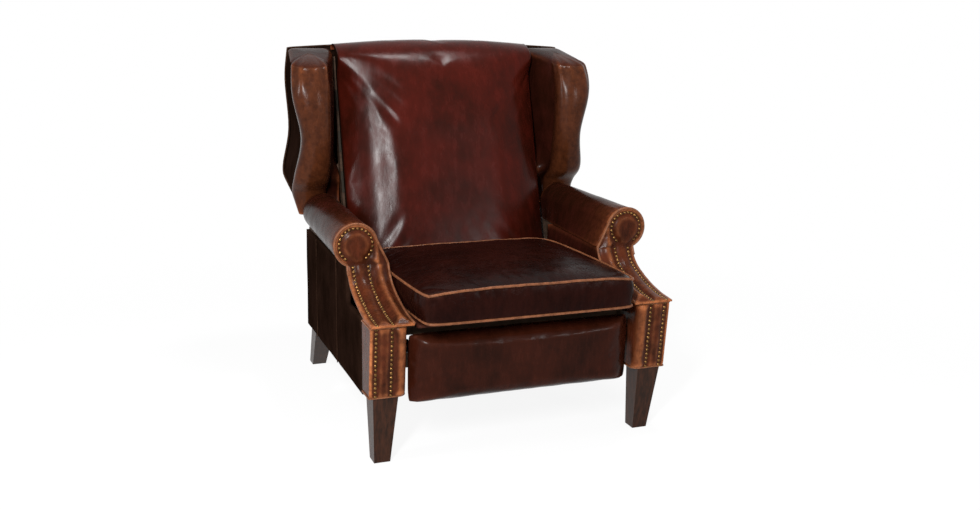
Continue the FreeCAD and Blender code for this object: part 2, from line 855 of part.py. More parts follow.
def pivot_pins(at):
    """Every pivot's pin on both sides, listed by the body that holds it."""
    thick = size("plate_thick")
    clear = size("pin_end_gap")
    base_out = at["base_layer"] + thick
    swing = at["swing_layer"]
    seat = at["seat_layer"]
    rear = at["rear_link_layer"]
    front = at["front_link_layer"]
    bracket = at["bracket_layer"]
    pins = {
        "base": [
            pin_shape(at[name], base_out, swing - clear, "inner") for name in ("back_pivot", "hanger_pivot")
        ],
        "seat": [
            hole(at[name], size("pin_radius"), seat, swing + thick + clear - seat)
            for name in ("seat_rear_pivot", "seat_front_pivot")
        ] + [pin_shape(at["link_pivot"], seat + thick, rear - clear, "inner")],
        "knee": [pin_shape(at["knee"], rear + thick, front - clear, "inner")],
        "toe": [pin_shape(at["toe"], bracket, front + thick + clear, "outer")],
    }
    return {word: [loose(word + "_pin", one) for pin in group for one in (pin, mirrored(pin))]
            for word, group in pins.items()}


# Seat

def seat_screw(name, side, place):
    """A screw through the seat plate into the side rail, from its inner end."""
    return rod(name, side, "seat_rail_outer + plate_thick - screw_length", str(place), "seat_bar_z",
               "screw_radius", "screw_length")


def seat_frame():
    """Four rails, the side ones drilled for the seat plates' screws."""
    for side in (1, -1):
        name = side_name(side)
        rail = side_box(name + "_rail_blank", side, "seat_rail_outer - seat_rail_thick", "seat_front",
                        "seat_rail_foot", "seat_rail_thick", "seat_rear - seat_front", "seat_rail_tall")
        holes = [seat_screw(name + "_rail_hole", side, place) for place in SEAT_SCREW_PLACES]
        drilled(name + "_seat_rail", rail, holes)
    span = "2*(seat_rail_outer - seat_rail_thick)"
    for end, y in (("front", "seat_front"), ("rear", "seat_rear - seat_rail_thick")):
        name = end + "_seat_rail"
        keep(name, box(name, "-(seat_rail_outer - seat_rail_thick)", y, "seat_rail_foot",
                       span, "seat_rail_thick", "seat_rail_tall"))


def seat_screws():
    """Screws of the seat plates, each with a flat head on the plate."""
    screws = []
    for side in (1, -1):
        for place in SEAT_SCREW_PLACES:
            shank = seat_screw("seat_shank", side, place)
            head = rod("seat_head", side, "seat_rail_outer + plate_thick", str(place), "seat_bar_z",
                       "screw_head_radius", "screw_head_thick")
            screws.append(joined("seat_screw", [shank, head]))
    return screws


def zigzag_spring(x, front, rear, height):
    """One sinuous spring: straight bars joined by half turns, lying flat."""
    bend = size("spring_bend")
    straight = size("spring_half") - bend
    count = int((rear - front) / (2 * bend))
    start = front + ((rear - front) - 2 * bend * (count - 1)) / 2
    edges = []
    way = 1
    for index in range(count):
        y = start + 2 * bend * index
        one = Vector(x - way * straight, y, height)
        two = Vector(x + way * straight, y, height)
        edges.append(Part.makeLine(one, two))
        if index < count - 1:
            tip = two + Vector(way * bend, bend, 0)
            far = two + Vector(0, 2 * bend, 0)
            edges.append(Part.Arc(two, tip, far).toShape())
        way = -way
    path = Part.Wire(edges)
    first = edges[0].Vertexes[0].Point
    ring = Part.Wire(Part.makeCircle(size("spring_wire"), first, Vector(1, 0, 0)))
    return path.makePipeShell([ring], True, True)


def seat_springs():
    height = size("seat_rail_foot") + size("seat_rail_tall") - size("spring_wire")
    front = size("seat_front") + size("seat_rail_thick")
    rear = size("seat_rear") - size("seat_rail_thick")
    places_x = [size("spring_spacing") * step for step in (-2, -1, 0, 1, 2)]
    springs = [zigzag_spring(x, front, rear, height) for x in places_x]
    feature("seat_springs", Part.makeCompound(springs))


def seat_deck():
    half = "(side_inner - 2*plate_thick - plate_gap - deck_end_clear)"
    keep("seat_deck", box("seat_deck", "-" + half, "deck_front", "seat_rail_foot + seat_rail_tall",
                          "2*" + half, "seat_rear - deck_front", "deck_thick"))


def seat_cushion():
    """A boxed cushion with a crowned top and drawn-in sides, lower at the rear."""
    foot = size("seat_rail_foot") + size("seat_rail_tall") + size("deck_thick")
    front = size("cushion_front")
    rear = size("cushion_rear")
    half = size("cushion_half")
    sections = []
    for share in LOFT_SHARES:
        x = share * half
        drop = size("cushion_edge_drop") * share ** 4
        pull = size("cushion_corner_pull") * share ** 8
        border = foot + size("cushion_border") - drop * size("border_drop_share")
        crown = foot + size("cushion_crown") - drop
        last = foot + size("cushion_rear_tall") - drop * size("rear_drop_share")
        seam_y = front + size("cushion_border_bulge") + pull
        crest_y = front + size("cushion_crest_share") * (rear - front)
        sections.append(outline(
            Vector(x, seam_y, foot),
            (Vector(x, front + pull, (foot + border) / 2), Vector(x, seam_y, border)),
            (Vector(x, crest_y, crown), Vector(x, rear, last)),
            Vector(x, rear, foot),
        ))
    feature("seat_cushion", Part.makeLoft(sections, True, False))


# Back

def leaning(x, wide, low, high, ahead, behind):
    """A board that leans with the back: between two heights, from one face to another behind it."""
    wire = outline(
        Vector(x, back_y(low, ahead), low),
        Vector(x, back_y(high, ahead), high),
        Vector(x, back_y(high, behind), high),
        Vector(x, back_y(low, behind), low),
    )
    return prism(wire, Vector(wide, 0, 0))


def bracket_screw_shapes(at):
    """The screws of the left bracket, from the stile out to their heads."""
    outer = at["swing_layer"] + size("plate_thick")
    shapes = []
    for spot in bracket_screw_spots(at):
        shank = hole(spot, size("screw_radius"), outer - size("screw_length"), size("screw_length"))
        head = hole(spot, size("screw_head_radius"), outer, size("screw_head_thick"))
        shapes.append(shank.fuse(head))
    return shapes


def back_frame(at):
    """Two stiles with a low rail between them, and two wide rails behind that carry the wings."""
    inner = size("stile_inner")
    outer = size("stile_outer")
    foot = size("back_foot_z")
    tall = size("back_rail_tall")
    thick = size("stile_thick")
    stile = leaning(inner, outer - inner, foot, size("back_frame_top"), 0, thick)
    stile = stile.cut(bracket_screw_shapes(at))
    for side in (1, -1):
        feature(side_name(side) + "_back_stile", sided(stile, side))
    feature("back_low_rail", leaning(-inner, 2 * inner, foot, foot + tall, 0, thick))
    for label in ("top_rail", "wing_rail"):
        feature("back_" + label, wide_rail(label))
    screws = bracket_screw_shapes(at)
    feature("back_bracket_screws", Part.makeCompound(screws + [mirrored(one) for one in screws]))


def wide_rail(label):
    foot = size(label + "_foot")
    reach = size("wing_board_inner")
    thick = size("stile_thick")
    return leaning(-reach, 2 * reach, foot, foot + size("back_rail_tall"), thick,
                   thick + size("wing_rail_thick"))


def back_webbing():
    """Elastic straps across the front of the stiles."""
    reach = size("stile_outer")
    straps = []
    for step in range(4):
        low = size("webbing_foot") + step * size("webbing_pitch")
        straps.append(leaning(-reach, 2 * reach, low, low + size("webbing_wide"), -size("webbing_thick"), 0))
    feature("back_webbing", Part.makeCompound(straps))


def back_pad_section(x, drop, crest):
    """The pad seen from the side at one x: leaning front, rolled top, and the frame's slope behind."""
    foot = size("back_pad_foot")
    shoulder = size("back_frame_top") + size("frame_top_gap")
    skin = -size("webbing_thick")
    crest_y = size("back_pad_crest_y")
    crest_round = size("crest_round")
    rear = size("back_cover_inner")

    def front(word, share=1.0):
        return Vector(x, size(f"back_pad_{word}_y") + share * drop, size(f"back_pad_{word}_z"))

    head = front("head", size("back_pad_head_drop_share"))
    return outline(
        Vector(x, size("back_pad_foot_y") + drop, foot),
        (front("lumbar"), front("waist")),
        (front("shoulder"), head),
        (Vector(x, (head.y + crest_y) / 2 - crest_round, crest - crest_round), Vector(x, crest_y, crest)),
        (Vector(x, crest_y + size("crest_rear_run"), crest - size("crest_rear_sink")),
         Vector(x, rear, crest - size("crest_end_sink"))),
        Vector(x, rear, shoulder),
        Vector(x, back_y(shoulder, skin), shoulder),
        Vector(x, back_y(foot, skin), foot),
    )


def back_pad():
    """The inside back: crowned, its sides drawn back to the wings, its top rolled and gently arched."""
    half = size("back_pad_half")
    crest = size("back_pad_crest")
    sections = []
    for share in LOFT_SHARES:
        drop = size("back_pad_edge_drop") * share ** 6
        sink = size("back_pad_arch") * share ** 2
        sections.append(back_pad_section(share * half, drop, crest - sink))
    feature("back_pad", Part.makeLoft(sections, True, False))


WING_HEIGHTS = ("foot", "arm", "belly", "waist", "ear", "top")


def wing_rear(height):
    """The inner face of the outer back at a height: upright above, sloping in below its knee."""
    low_y = size("back_cover_bend_y")
    low_z = size("back_cover_bend_z")
    knee_y = size("back_cover_inner")
    knee_z = size("back_cover_knee_z")
    if height >= knee_z:
        return knee_y
    return low_y + (height - low_z) * (knee_y - low_y) / (knee_z - low_z)


# Well past the chair on any side, for shapes that only cut
BEYOND = 200


def behind_cover(setback):
    """Everything behind the outer back's inner face, or behind a face set back from it."""
    reach = size("wing_ear_half") + BEYOND
    far = size("back_cover_inner") + BEYOND
    high = size("back_pad_crest") + BEYOND
    return prism(outline(
        Vector(-reach, size("back_cover_inner") + setback, high),
        Vector(-reach, size("back_cover_inner") + setback, size("back_cover_knee_z") - setback / 2),
        Vector(-reach, size("back_cover_bend_y") + setback, size("back_cover_bend_z") - setback / 2),
        Vector(-reach, size("back_cover_low_y") + setback, size("back_cover_foot")),
        Vector(-reach, far, size("back_cover_foot")),
        Vector(-reach, far, high),
    ), Vector(2 * reach, 0, 0))


# The wing's roll and its inner face: the fullness of the roll's arcs, its greatest share of
# the wing's depth, and where the inner face begins, as a share of the depth from the rear
ROLL_FULLNESS = 0.72
ROLL_ARC_DEPTH = 0.3
ROLL_DEPTH_LIMIT = 0.45
INNER_FACE_SHARE = 0.3


def wing_section(word):
    """A slice of the left wing: flat inside and outside, with a fat roll at its front."""
    height = size(f"wing_{word}_z")
    outer = size(f"wing_{word}_half")
    front = size(f"wing_{word}_front")
    rear = wing_rear(height)
    depth = min(size("wing_roll_depth"), ROLL_DEPTH_LIMIT * (rear - front))
    inner = size("wing_roll_inner")
    middle = (inner + outer) / 2
    spread = (outer - inner) / 2
    valley = rear - INNER_FACE_SHARE * (rear - front)
    arc_x = spread * ROLL_FULLNESS
    arc_y = front + depth * ROLL_ARC_DEPTH
    return outline(
        Vector(size("wing_inner"), rear, height),
        Vector(size("wing_inner"), valley, height),
        Vector(inner, front + depth, height),
        (Vector(middle - arc_x, arc_y, height), Vector(middle, front, height)),
        (Vector(middle + arc_x, arc_y, height), Vector(outer, front + depth, height)),
        Vector(size(f"wing_{word}_rear_half"), rear, height),
    )


# The front edge of the board in each wing, as (y, z) from its foot up, and its rear corners' heights
WING_BOARD_FRONT = ((335, 590), (270, 640), (240, 750), (238, 890), (268, 938))
WING_BOARD_REAR_HEIGHTS = (955, 640)


def wing_board_shape():
    """The flat board inside each wing, well inside its padding."""
    x = size("wing_board_inner")
    rear = size("back_cover_inner") - size("wing_board_rear_gap")
    corners = [Vector(x, y, z) for y, z in WING_BOARD_FRONT]
    corners += [Vector(x, rear, z) for z in WING_BOARD_REAR_HEIGHTS]
    return prism(outline(*corners), Vector(size("wing_board_thick"), 0, 0))


def wings():
    """Each wing: a board on the wide rails, and the padding that wraps it, cut round what it holds."""
    sections = [wing_section(word) for word in WING_HEIGHTS]
    pad = Part.makeLoft(sections, True, False)
    board = wing_board_shape()
    near = size("wing_top_front") - BEYOND
    far = size("back_cover_inner") + BEYOND
    slope = (size("wing_slope_rear_z") - size("wing_slope_front_z")) / (
        size("back_cover_inner") - size("wing_top_front"))
    high = size("back_pad_crest") + BEYOND
    above = prism(outline(
        Vector(BEYOND, near, size("wing_slope_front_z") - slope * BEYOND),
        Vector(BEYOND, far, size("wing_slope_rear_z") + slope * BEYOND),
        Vector(BEYOND, far, high),
        Vector(BEYOND, near, high),
    ), Vector(size("wing_ear_half"), 0, 0))
    pad = pad.cut([board, wide_rail("top_rail"), wide_rail("wing_rail"), above, behind_cover(0)])
    for side in (1, -1):
        feature(side_name(side) + "_wing_board", sided(board, side))
        feature(side_name(side) + "_wing_pad", sided(pad, side))


# How far the outer back's edge swells between the belly and the waist of the wings
WAIST_SWELL = 1.5


def back_outer_cover():
    """The leather-covered board that closes the rear of the back and slopes in under the wings."""
    foot = size("back_cover_foot")
    bend_z = size("back_cover_bend_z")
    strip = behind_cover(0).cut(behind_cover(size("back_cover_thick")))

    def rim(side):
        """Half of the outline seen from the front, from its foot to its top corner."""
        spots = [(size(f"wing_{word}_rear_half"), size(f"wing_{word}_z")) for word in WING_HEIGHTS]
        return [Vector(side * x, 0, z) for x, z in spots]

    left = rim(1)
    right = rim(-1)
    low_half = size("back_cover_low_half")
    lift = size("back_pad_crest") - size("back_cover_top_sink")
    half_way = (left[2] + left[3]) * 0.5 + Vector(WAIST_SWELL, 0, 0)
    shape = outline(
        Vector(-low_half, 0, foot - size("cover_thick")),
        Vector(low_half, 0, foot - size("cover_thick")),
        Vector(low_half, 0, bend_z),
        left[0],
        left[1],
        (left[2], half_way),
        (left[3], left[4]),
        Vector(left[5].x, 0, size("wing_slope_rear_z")),
        (Vector(0, 0, lift), Vector(right[5].x, 0, size("wing_slope_rear_z"))),
        right[4],
        (right[3], Vector(-half_way.x, 0, half_way.z)),
        (right[2], right[1]),
        right[0],
        Vector(-low_half, 0, bend_z),
    )
    reach = size("back_cover_inner") + BEYOND
    feature("back_outer_cover", strip.common(prism(shape, Vector(0, reach, 0))))


# Footrest

def footrest_pad():
    """A padded panel with rounded edges, drawn back a little at its ends."""
    back = size("footrest_front") + size("footrest_pad_thick")
    half = size("footrest_half")
    sections = []
    for share in LOFT_SHARES:
        x = share * half
        pull = size("footrest_end_pull") * share ** 10
        front = size("footrest_front") + pull
        foot = size("footrest_foot") + pull / 2
        top = size("footrest_top") - pull / 2
        edge_y = front + size("footrest_edge_in")
        soft_y = front + size("footrest_edge_soft")
        face_y = front + size("footrest_face_in")
        drop = size("footrest_edge_drop")
        low = foot + size("footrest_face_edge")
        high = top - size("footrest_face_edge")
        sections.append(outline(
            Vector(x, back, foot + drop),
            Vector(x, edge_y, foot),
            (Vector(x, soft_y, foot + drop), Vector(x, face_y, low)),
            (Vector(x, front, (foot + top) / 2), Vector(x, face_y, high)),
            (Vector(x, soft_y, top - drop), Vector(x, edge_y, top)),
            Vector(x, back, top - drop),
        ))
    feature("footrest_pad", Part.makeLoft(sections, True, False))


FLANGE_SCREW_HEIGHTS = (215, 285)


def flange_screw(name, side, height, start, radius, long):
    """A screw of a footrest bracket, along Y into the board."""
    bar = doc.addObject("Part::Cylinder", name)
    bar.setExpression("Radius", bound(radius))
    bar.setExpression("Height", bound(long))
    bar.Placement = Placement(Vector(0, 0, height), Rotation(Vector(1, 0, 0), 90))
    bar.setExpression("Placement.Base.x", bound(f"{side}*(footrest_board_half - flange_wide/2)"))
    bar.setExpression("Placement.Base.y", bound(start))
    return bar


FLANGE_BACK = "footrest_front + footrest_pad_thick + footrest_board_thick + plate_thick"


def footrest_board():
    holes = [flange_screw("board_hole", side, height, FLANGE_BACK, "screw_radius", "plate_thick + 12")
             for side in (1, -1) for height in FLANGE_SCREW_HEIGHTS]
    board = box("footrest_board_blank", "-footrest_board_half", "footrest_front + footrest_pad_thick",
                "footrest_foot + footrest_board_inset", "2*footrest_board_half", "footrest_board_thick",
                "footrest_top - footrest_foot - 2*footrest_board_inset")
    drilled("footrest_board", board, holes)


def footrest_brackets(at):
    """A steel angle on each side of the board: a flange on the board and a web out to the toe pivot."""
    back = size("footrest_front") + size("footrest_pad_thick") + size("footrest_board_thick")
    thick = size("plate_thick")
    x = at["bracket_layer"]
    outer = x + thick
    toe = at["toe"]
    foot = FLANGE_SCREW_HEIGHTS[0] - size("flange_beyond")
    top = FLANGE_SCREW_HEIGHTS[1] + size("flange_beyond")
    flange = Part.makeBox(size("flange_wide"), thick, top - foot,
                          Vector(outer - size("flange_wide"), back, foot))
    web = Part.makeBox(thick, size("bracket_web"), top - foot, Vector(x, back, foot))
    arm_start = (back + size("ear_half"), toe[1] - size("bracket_arm_drop"))
    arm = bar(arm_start, toe, size("link_half"), x, thick)
    shape = flange.multiFuse([web, arm]).cut([hole(toe, size("pin_radius"), x, thick)])
    screw_x = size("footrest_board_half") - size("flange_wide") / 2
    holes = [Part.makeCylinder(size("screw_radius"), 2 * thick, Vector(screw_x, back, height),
                               Vector(0, 1, 0)) for height in FLANGE_SCREW_HEIGHTS]
    shape = shape.cut(holes)
    for side in (1, -1):
        feature(side_name(side) + "_footrest_bracket", sided(shape, side))


def footrest_screws():
    """Screws of the footrest's brackets, each with a flat head on the flange."""
    screws = []
    for side in (1, -1):
        for height in FLANGE_SCREW_HEIGHTS:
            shank = flange_screw("foot_shank", side, height, FLANGE_BACK, "screw_radius", "plate_thick + 12")
            head = flange_screw("foot_head", side, height, FLANGE_BACK + " + screw_head_thick",
                                "screw_head_radius", "screw_head_thick")
            screws.append(joined("foot_screw", [shank, head]))
    return screws


def check_and_write():
    """Stops on any failed object, and writes each sub-part's shape under its name."""
    doc.recompute()
    for thing in doc.Objects:
        if "Invalid" in thing.State or "Error" in thing.State:
            raise RuntimeError(f"{thing.Label} failed: {thing.State}")
    os.makedirs("parts", exist_ok=True)
    for thing in NODES:
        shape = thing.Shape
        if shape.isNull() or not shape.isValid() or not shape.Solids:
            raise RuntimeError(f"{thing.Label} has no valid solid")
        shape.exportStep(f"parts/{thing.Label}.step")
    print(len(NODES), "sub-parts")


def main():
    fill_sheet()
    at = places()
    legs()
    side_frames()
    outside_covers()
    post_covers()
    inner_arm_pads()
    arm_rolls()
    arm_facings()
    nailheads()
    base_rails()
    base_plates(at)
    base_screws()
    back_brackets(at)
    front_hangers(at)
    seat_plates(at)
    footrest_links(at)
    torque_tube(at)
    pins = pivot_pins(at)
    grouped("base_pivot_pins", pins["base"])
    grouped("knee_pins", pins["knee"])
    seat_frame()
    grouped("seat_pins_and_screws", pins["seat"] + seat_screws())
    seat_springs()
    seat_deck()
    seat_cushion()
    back_frame(at)
    back_webbing()
    back_pad()
    wings()
    back_outer_cover()
    footrest_pad()
    footrest_board()
    footrest_brackets(at)
    grouped("footrest_pins_and_screws", pins["toe"] + footrest_screws())
    check_and_write()


main()
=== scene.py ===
"""Looks of a wingback recliner in hand-rubbed leather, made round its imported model.

Metres. +Z is up and the chair faces -Y. Left is the sitter's left, +X.
"""

import json
import math

import bmesh
import bpy
import numpy as np
from mathutils import Matrix, Vector, noise
from mathutils.geometry import delaunay_2d_cdt


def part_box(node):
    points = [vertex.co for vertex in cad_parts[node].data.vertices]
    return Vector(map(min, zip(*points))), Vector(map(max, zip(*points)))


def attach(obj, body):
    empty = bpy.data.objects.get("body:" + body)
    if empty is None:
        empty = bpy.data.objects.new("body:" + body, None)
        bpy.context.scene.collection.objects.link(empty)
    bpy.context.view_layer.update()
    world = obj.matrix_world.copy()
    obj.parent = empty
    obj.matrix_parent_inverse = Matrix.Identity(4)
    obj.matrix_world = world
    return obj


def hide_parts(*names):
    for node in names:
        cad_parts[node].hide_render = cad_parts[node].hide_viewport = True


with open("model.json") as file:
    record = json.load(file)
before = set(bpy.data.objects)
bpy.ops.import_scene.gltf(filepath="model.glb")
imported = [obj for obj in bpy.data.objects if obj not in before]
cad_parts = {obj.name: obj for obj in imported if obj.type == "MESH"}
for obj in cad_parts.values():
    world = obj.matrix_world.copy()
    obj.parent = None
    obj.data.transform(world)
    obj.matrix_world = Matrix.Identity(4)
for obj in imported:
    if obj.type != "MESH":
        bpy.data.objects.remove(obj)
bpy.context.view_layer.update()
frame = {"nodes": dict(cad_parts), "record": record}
SIDES = {"left": 1, "right": -1}

# How sharply a surface bends, in 1/m: the most that counts, then where the worn, lighter edges with their
# painted highlight and the painted shade in creases begin and are full
SHARPEST_BEND = 300
WORN_AND_LIT_BENDS = (6, 70)
SHADED_BENDS = (4, 60)


# Lines and tables


def smooth_line(points, steps=12):
    """A smooth line through the points, with that many steps from each to the next."""
    given = np.array(points, float)
    around = np.vstack([2 * given[0] - given[1], given, 2 * given[-1] - given[-2]])
    line = []
    for before, here, there, after in zip(around, around[1:], around[2:], around[3:]):
        for step in range(steps):
            t = step / steps
            line.append(0.5 * (
                2 * here
                + (there - before) * t
                + (2 * before - 5 * here + 4 * there - after) * t ** 2
                + (3 * here - before - 3 * there + after) * t ** 3
            ))
    line.append(given[-1])
    return np.array(line)


def lengths(line):
    """How far along a line each of its points is."""
    return np.concatenate([[0], np.cumsum(np.linalg.norm(np.diff(line, axis=0), axis=1))])


def resampled(line, count):
    """The line as that many points at even spacing."""
    run = lengths(line)
    at = np.linspace(0, run[-1], count)
    return np.column_stack([np.interp(at, run, line[:, k]) for k in range(line.shape[1])])


def arc(middle, radius, first, last, count):
    """Flat points on a circle between two angles in degrees."""
    angle = np.radians(np.linspace(first, last, count))
    return np.column_stack([middle[0] + radius * np.cos(angle), middle[1] + radius * np.sin(angle)])


def ease(value, low, high):
    """0 below low, 1 above high, and a smooth rise between."""
    t = np.clip((np.asarray(value, float) - low) / (high - low), 0, 1)
    return t * t * (3 - 2 * t)


def swell(gap, width):
    """0 at a seam, and a smooth rise to 1 beyond that width."""
    return 1 - np.exp(-(gap / width) ** 2)


def unit(steps):
    """Each step's direction, with length 1."""
    return steps / np.maximum(np.linalg.norm(steps, axis=1), 1e-9)[:, None]


def waves(points, scale, seed):
    """Smooth unevenness from -1 to 1 over the points."""
    shift = Vector((seed * 7.3, seed * 3.1, seed * 5.7))
    return np.array([noise.noise(Vector(p) * scale + shift) for p in points])


class SidePath:
    """A line in the plane of the side. Panels lie along it: x stays, and their second value runs on it."""

    steps = 200

    def __init__(self, corners, out=1):
        self.out = out
        self.line = np.array(corners, float)
        self.run = lengths(self.line)
        tangent = unit(np.gradient(resampled(self.line, self.steps), axis=0))
        for _ in range(6):
            tangent = 0.5 * tangent + 0.25 * (np.vstack([tangent[:1], tangent[:-1]])
                                             + np.vstack([tangent[1:], tangent[-1:]]))
        self.tangent = tangent
        self.at = np.linspace(0, self.run[-1], self.steps)

    def run_at(self, height):
        """How far along the line a height is."""
        return float(np.interp(height, self.line[:, 1], self.run))

    def place(self, flat, height):
        """Flat points on the line's surface, raised by a height away from the chair."""
        y = np.interp(flat[:, 1], self.run, self.line[:, 0])
        z = np.interp(flat[:, 1], self.run, self.line[:, 1])
        ty = np.interp(flat[:, 1], self.at, self.tangent[:, 0])
        tz = np.interp(flat[:, 1], self.at, self.tangent[:, 1])
        return np.column_stack([flat[:, 0], y + height * tz * self.out, z - height * ty * self.out])


# Meshes


def box_grid(across, along, up):
    """A box's skin in squares: its points from -1 to 1, its faces, and each point by its place."""
    numbers = {}
    points = []

    def at(i, j, k):
        if (i, j, k) not in numbers:
            numbers[i, j, k] = len(points)
            points.append((2 * i / across - 1, 2 * j / along - 1, 2 * k / up - 1))
        return numbers[i, j, k]

    faces = []

    def square(*corners):
        faces.append(tuple(at(*corner) for corner in corners))

    for i in range(across):
        for j in range(along):
            square((i, j, 0), (i, j + 1, 0), (i + 1, j + 1, 0), (i + 1, j, 0))
            square((i, j, up), (i + 1, j, up), (i + 1, j + 1, up), (i, j + 1, up))
        for k in range(up):
            square((i, 0, k), (i + 1, 0, k), (i + 1, 0, k + 1), (i, 0, k + 1))
            square((i, along, k), (i, along, k + 1), (i + 1, along, k + 1), (i + 1, along, k))
    for j in range(along):
        for k in range(up):
            square((0, j, k), (0, j, k + 1), (0, j + 1, k + 1), (0, j + 1, k))
            square((across, j, k), (across, j + 1, k), (across, j + 1, k + 1), (across, j, k + 1))
    return np.array(points), faces, numbers


def rows_of_faces(rows, columns, around=False):
    """Square faces between rows of points, the last column joined to the first if they go around."""
    faces = []
    for row in range(rows - 1):
        for column in range(columns if around else columns - 1):
            beside = (column + 1) % columns
            low = row * columns
            faces.append((low + column, low + beside, low + columns + beside, low + columns + column))
    return faces


def end_faces(rows, columns):
    """The two faces that close rows of points at their ends."""
    return [tuple(range(columns)), tuple(range((rows - 1) * columns, rows * columns))]


def edges_of(faces):
    """The faces' edges, each once, as pairs of point numbers."""
    pairs = set()
    for face in faces:
        for one, two in zip(face, face[1:] + face[:1]):
            pairs.add((min(one, two), max(one, two)))
    return np.array(sorted(pairs))


def relaxed(points, faces, rounds, share=0.5, held=()):
    """The points drawn towards the middle of their neighbours, apart from those that are held."""
    pairs = edges_of(faces)
    count = np.zeros(len(points))
    np.add.at(count, pairs.ravel(), 1)
    free = np.ones(len(points))
    free[list(held)] = 0
    for _ in range(rounds):
        total = np.zeros_like(points)
        np.add.at(total, pairs[:, 0], points[pairs[:, 1]])
        np.add.at(total, pairs[:, 1], points[pairs[:, 0]])
        middle = total / count[:, None]
        points = points + (middle - points) * (share * free)[:, None]
    return points


def puffed(points, faces, held, pressure, reach, slack):
    """The points after a short cloth simulation with pressure inside. None moves further than reach."""
    mesh = bpy.data.meshes.new("pattern")
    mesh.from_pydata([tuple(p) for p in points], [], faces)
    pattern = bpy.data.objects.new("pattern", mesh)
    bpy.context.scene.collection.objects.link(pattern)
    group = pattern.vertex_groups.new(name="held")
    group.add([int(v) for v in held], 1.0, "REPLACE")
    cloth = pattern.modifiers.new("cloth", "CLOTH")
    settings = cloth.settings
    settings.quality = 6
    settings.mass = 0.4
    settings.tension_stiffness = 25
    settings.compression_stiffness = 25
    settings.shear_stiffness = 15
    settings.bending_stiffness = 0.8
    settings.use_pressure = True
    settings.uniform_pressure_force = pressure
    settings.shrink_min = -slack
    settings.vertex_group_mass = "held"
    settings.effector_weights.gravity = 0
    cloth.collision_settings.use_collision = False
    frames = 20
    cloth.point_cache.frame_start = 1
    cloth.point_cache.frame_end = frames
    scene = bpy.context.scene
    for number in range(1, frames + 1):
        scene.frame_set(number)
    result = pattern.evaluated_get(bpy.context.evaluated_depsgraph_get()).to_mesh()
    after = np.zeros(len(result.vertices) * 3)
    result.vertices.foreach_get("co", after)
    moved = after.reshape(-1, 3) - points
    bpy.data.objects.remove(pattern)
    bpy.data.meshes.remove(mesh)
    scene.frame_set(1)
    far = np.linalg.norm(moved, axis=1)
    share = reach * np.tanh(far / reach) / np.maximum(far, 1e-9)
    return points + moved * share[:, None]


def curvature_marks(mesh):
    """Marks for the rounded edges, lighter as rubbed wear with a painted highlight, and for the creases,
    darker as painted shade.
    """
    count = len(mesh.vertices)
    points = np.zeros(count * 3)
    normals = np.zeros(count * 3)
    mesh.vertices.foreach_get("co", points)
    mesh.vertices.foreach_get("normal", normals)
    points, normals = points.reshape(-1, 3), normals.reshape(-1, 3)
    pairs = np.zeros(len(mesh.edges) * 2, int)
    mesh.edges.foreach_get("vertices", pairs)
    pairs = pairs.reshape(-1, 2)
    total = np.zeros(count)
    number = np.zeros(count)
    for here, there in ((pairs[:, 0], pairs[:, 1]), (pairs[:, 1], pairs[:, 0])):
        step = points[there] - points[here]
        bend = 2 * np.sum(normals[here] * step, axis=1) / np.maximum(np.sum(step * step, axis=1), 1e-9)
        np.add.at(total, here, np.clip(bend, -SHARPEST_BEND, SHARPEST_BEND))
        np.add.at(number, here, 1)
    bend = total / np.maximum(number, 1)
    for _ in range(4):
        total = np.zeros(count)
        np.add.at(total, pairs[:, 0], bend[pairs[:, 1]])
        np.add.at(total, pairs[:, 1], bend[pairs[:, 0]])
        bend = 0.5 * bend + 0.5 * total / np.maximum(number, 1)
    return ease(-bend, *WORN_AND_LIT_BENDS), ease(bend, *SHADED_BENDS)


def set_marks(mesh, name, values):
    """Writes one value per point for the materials to read."""
    marks = mesh.attributes.new(name, "FLOAT", "POINT")
    marks.data.foreach_set("value", np.asarray(values, np.float32))


def piece(name, points, faces, material, wear=None, subdivide=False):
    """A smooth mesh with its marks of wear and painted highlight and of painted shade. It isn't on any body
    yet.
    """
    mesh = bpy.data.meshes.new(name)
    mesh.from_pydata([tuple(p) for p in points], [], faces)
    mesh.validate()
    build = bmesh.new()
    build.from_mesh(mesh)
    bmesh.ops.recalc_face_normals(build, faces=build.faces)
    build.to_mesh(mesh)
    build.free()
    for one in material if isinstance(material, (list, tuple)) else [material]:
        mesh.materials.append(one)
    mesh.shade_smooth()
    worn_and_lit, painted_shade_marks = curvature_marks(mesh)
    if wear is not None:
        worn_and_lit = np.clip(worn_and_lit + wear, 0, 1)
    set_marks(mesh, "wear", worn_and_lit)
    set_marks(mesh, "soil", painted_shade_marks)
    obj = bpy.data.objects.new(name, mesh)
    bpy.context.scene.collection.objects.link(obj)
    if subdivide:
        finer = obj.modifiers.new("finer", "SUBSURF")
        finer.levels = 1
        finer.render_levels = 1
    return obj


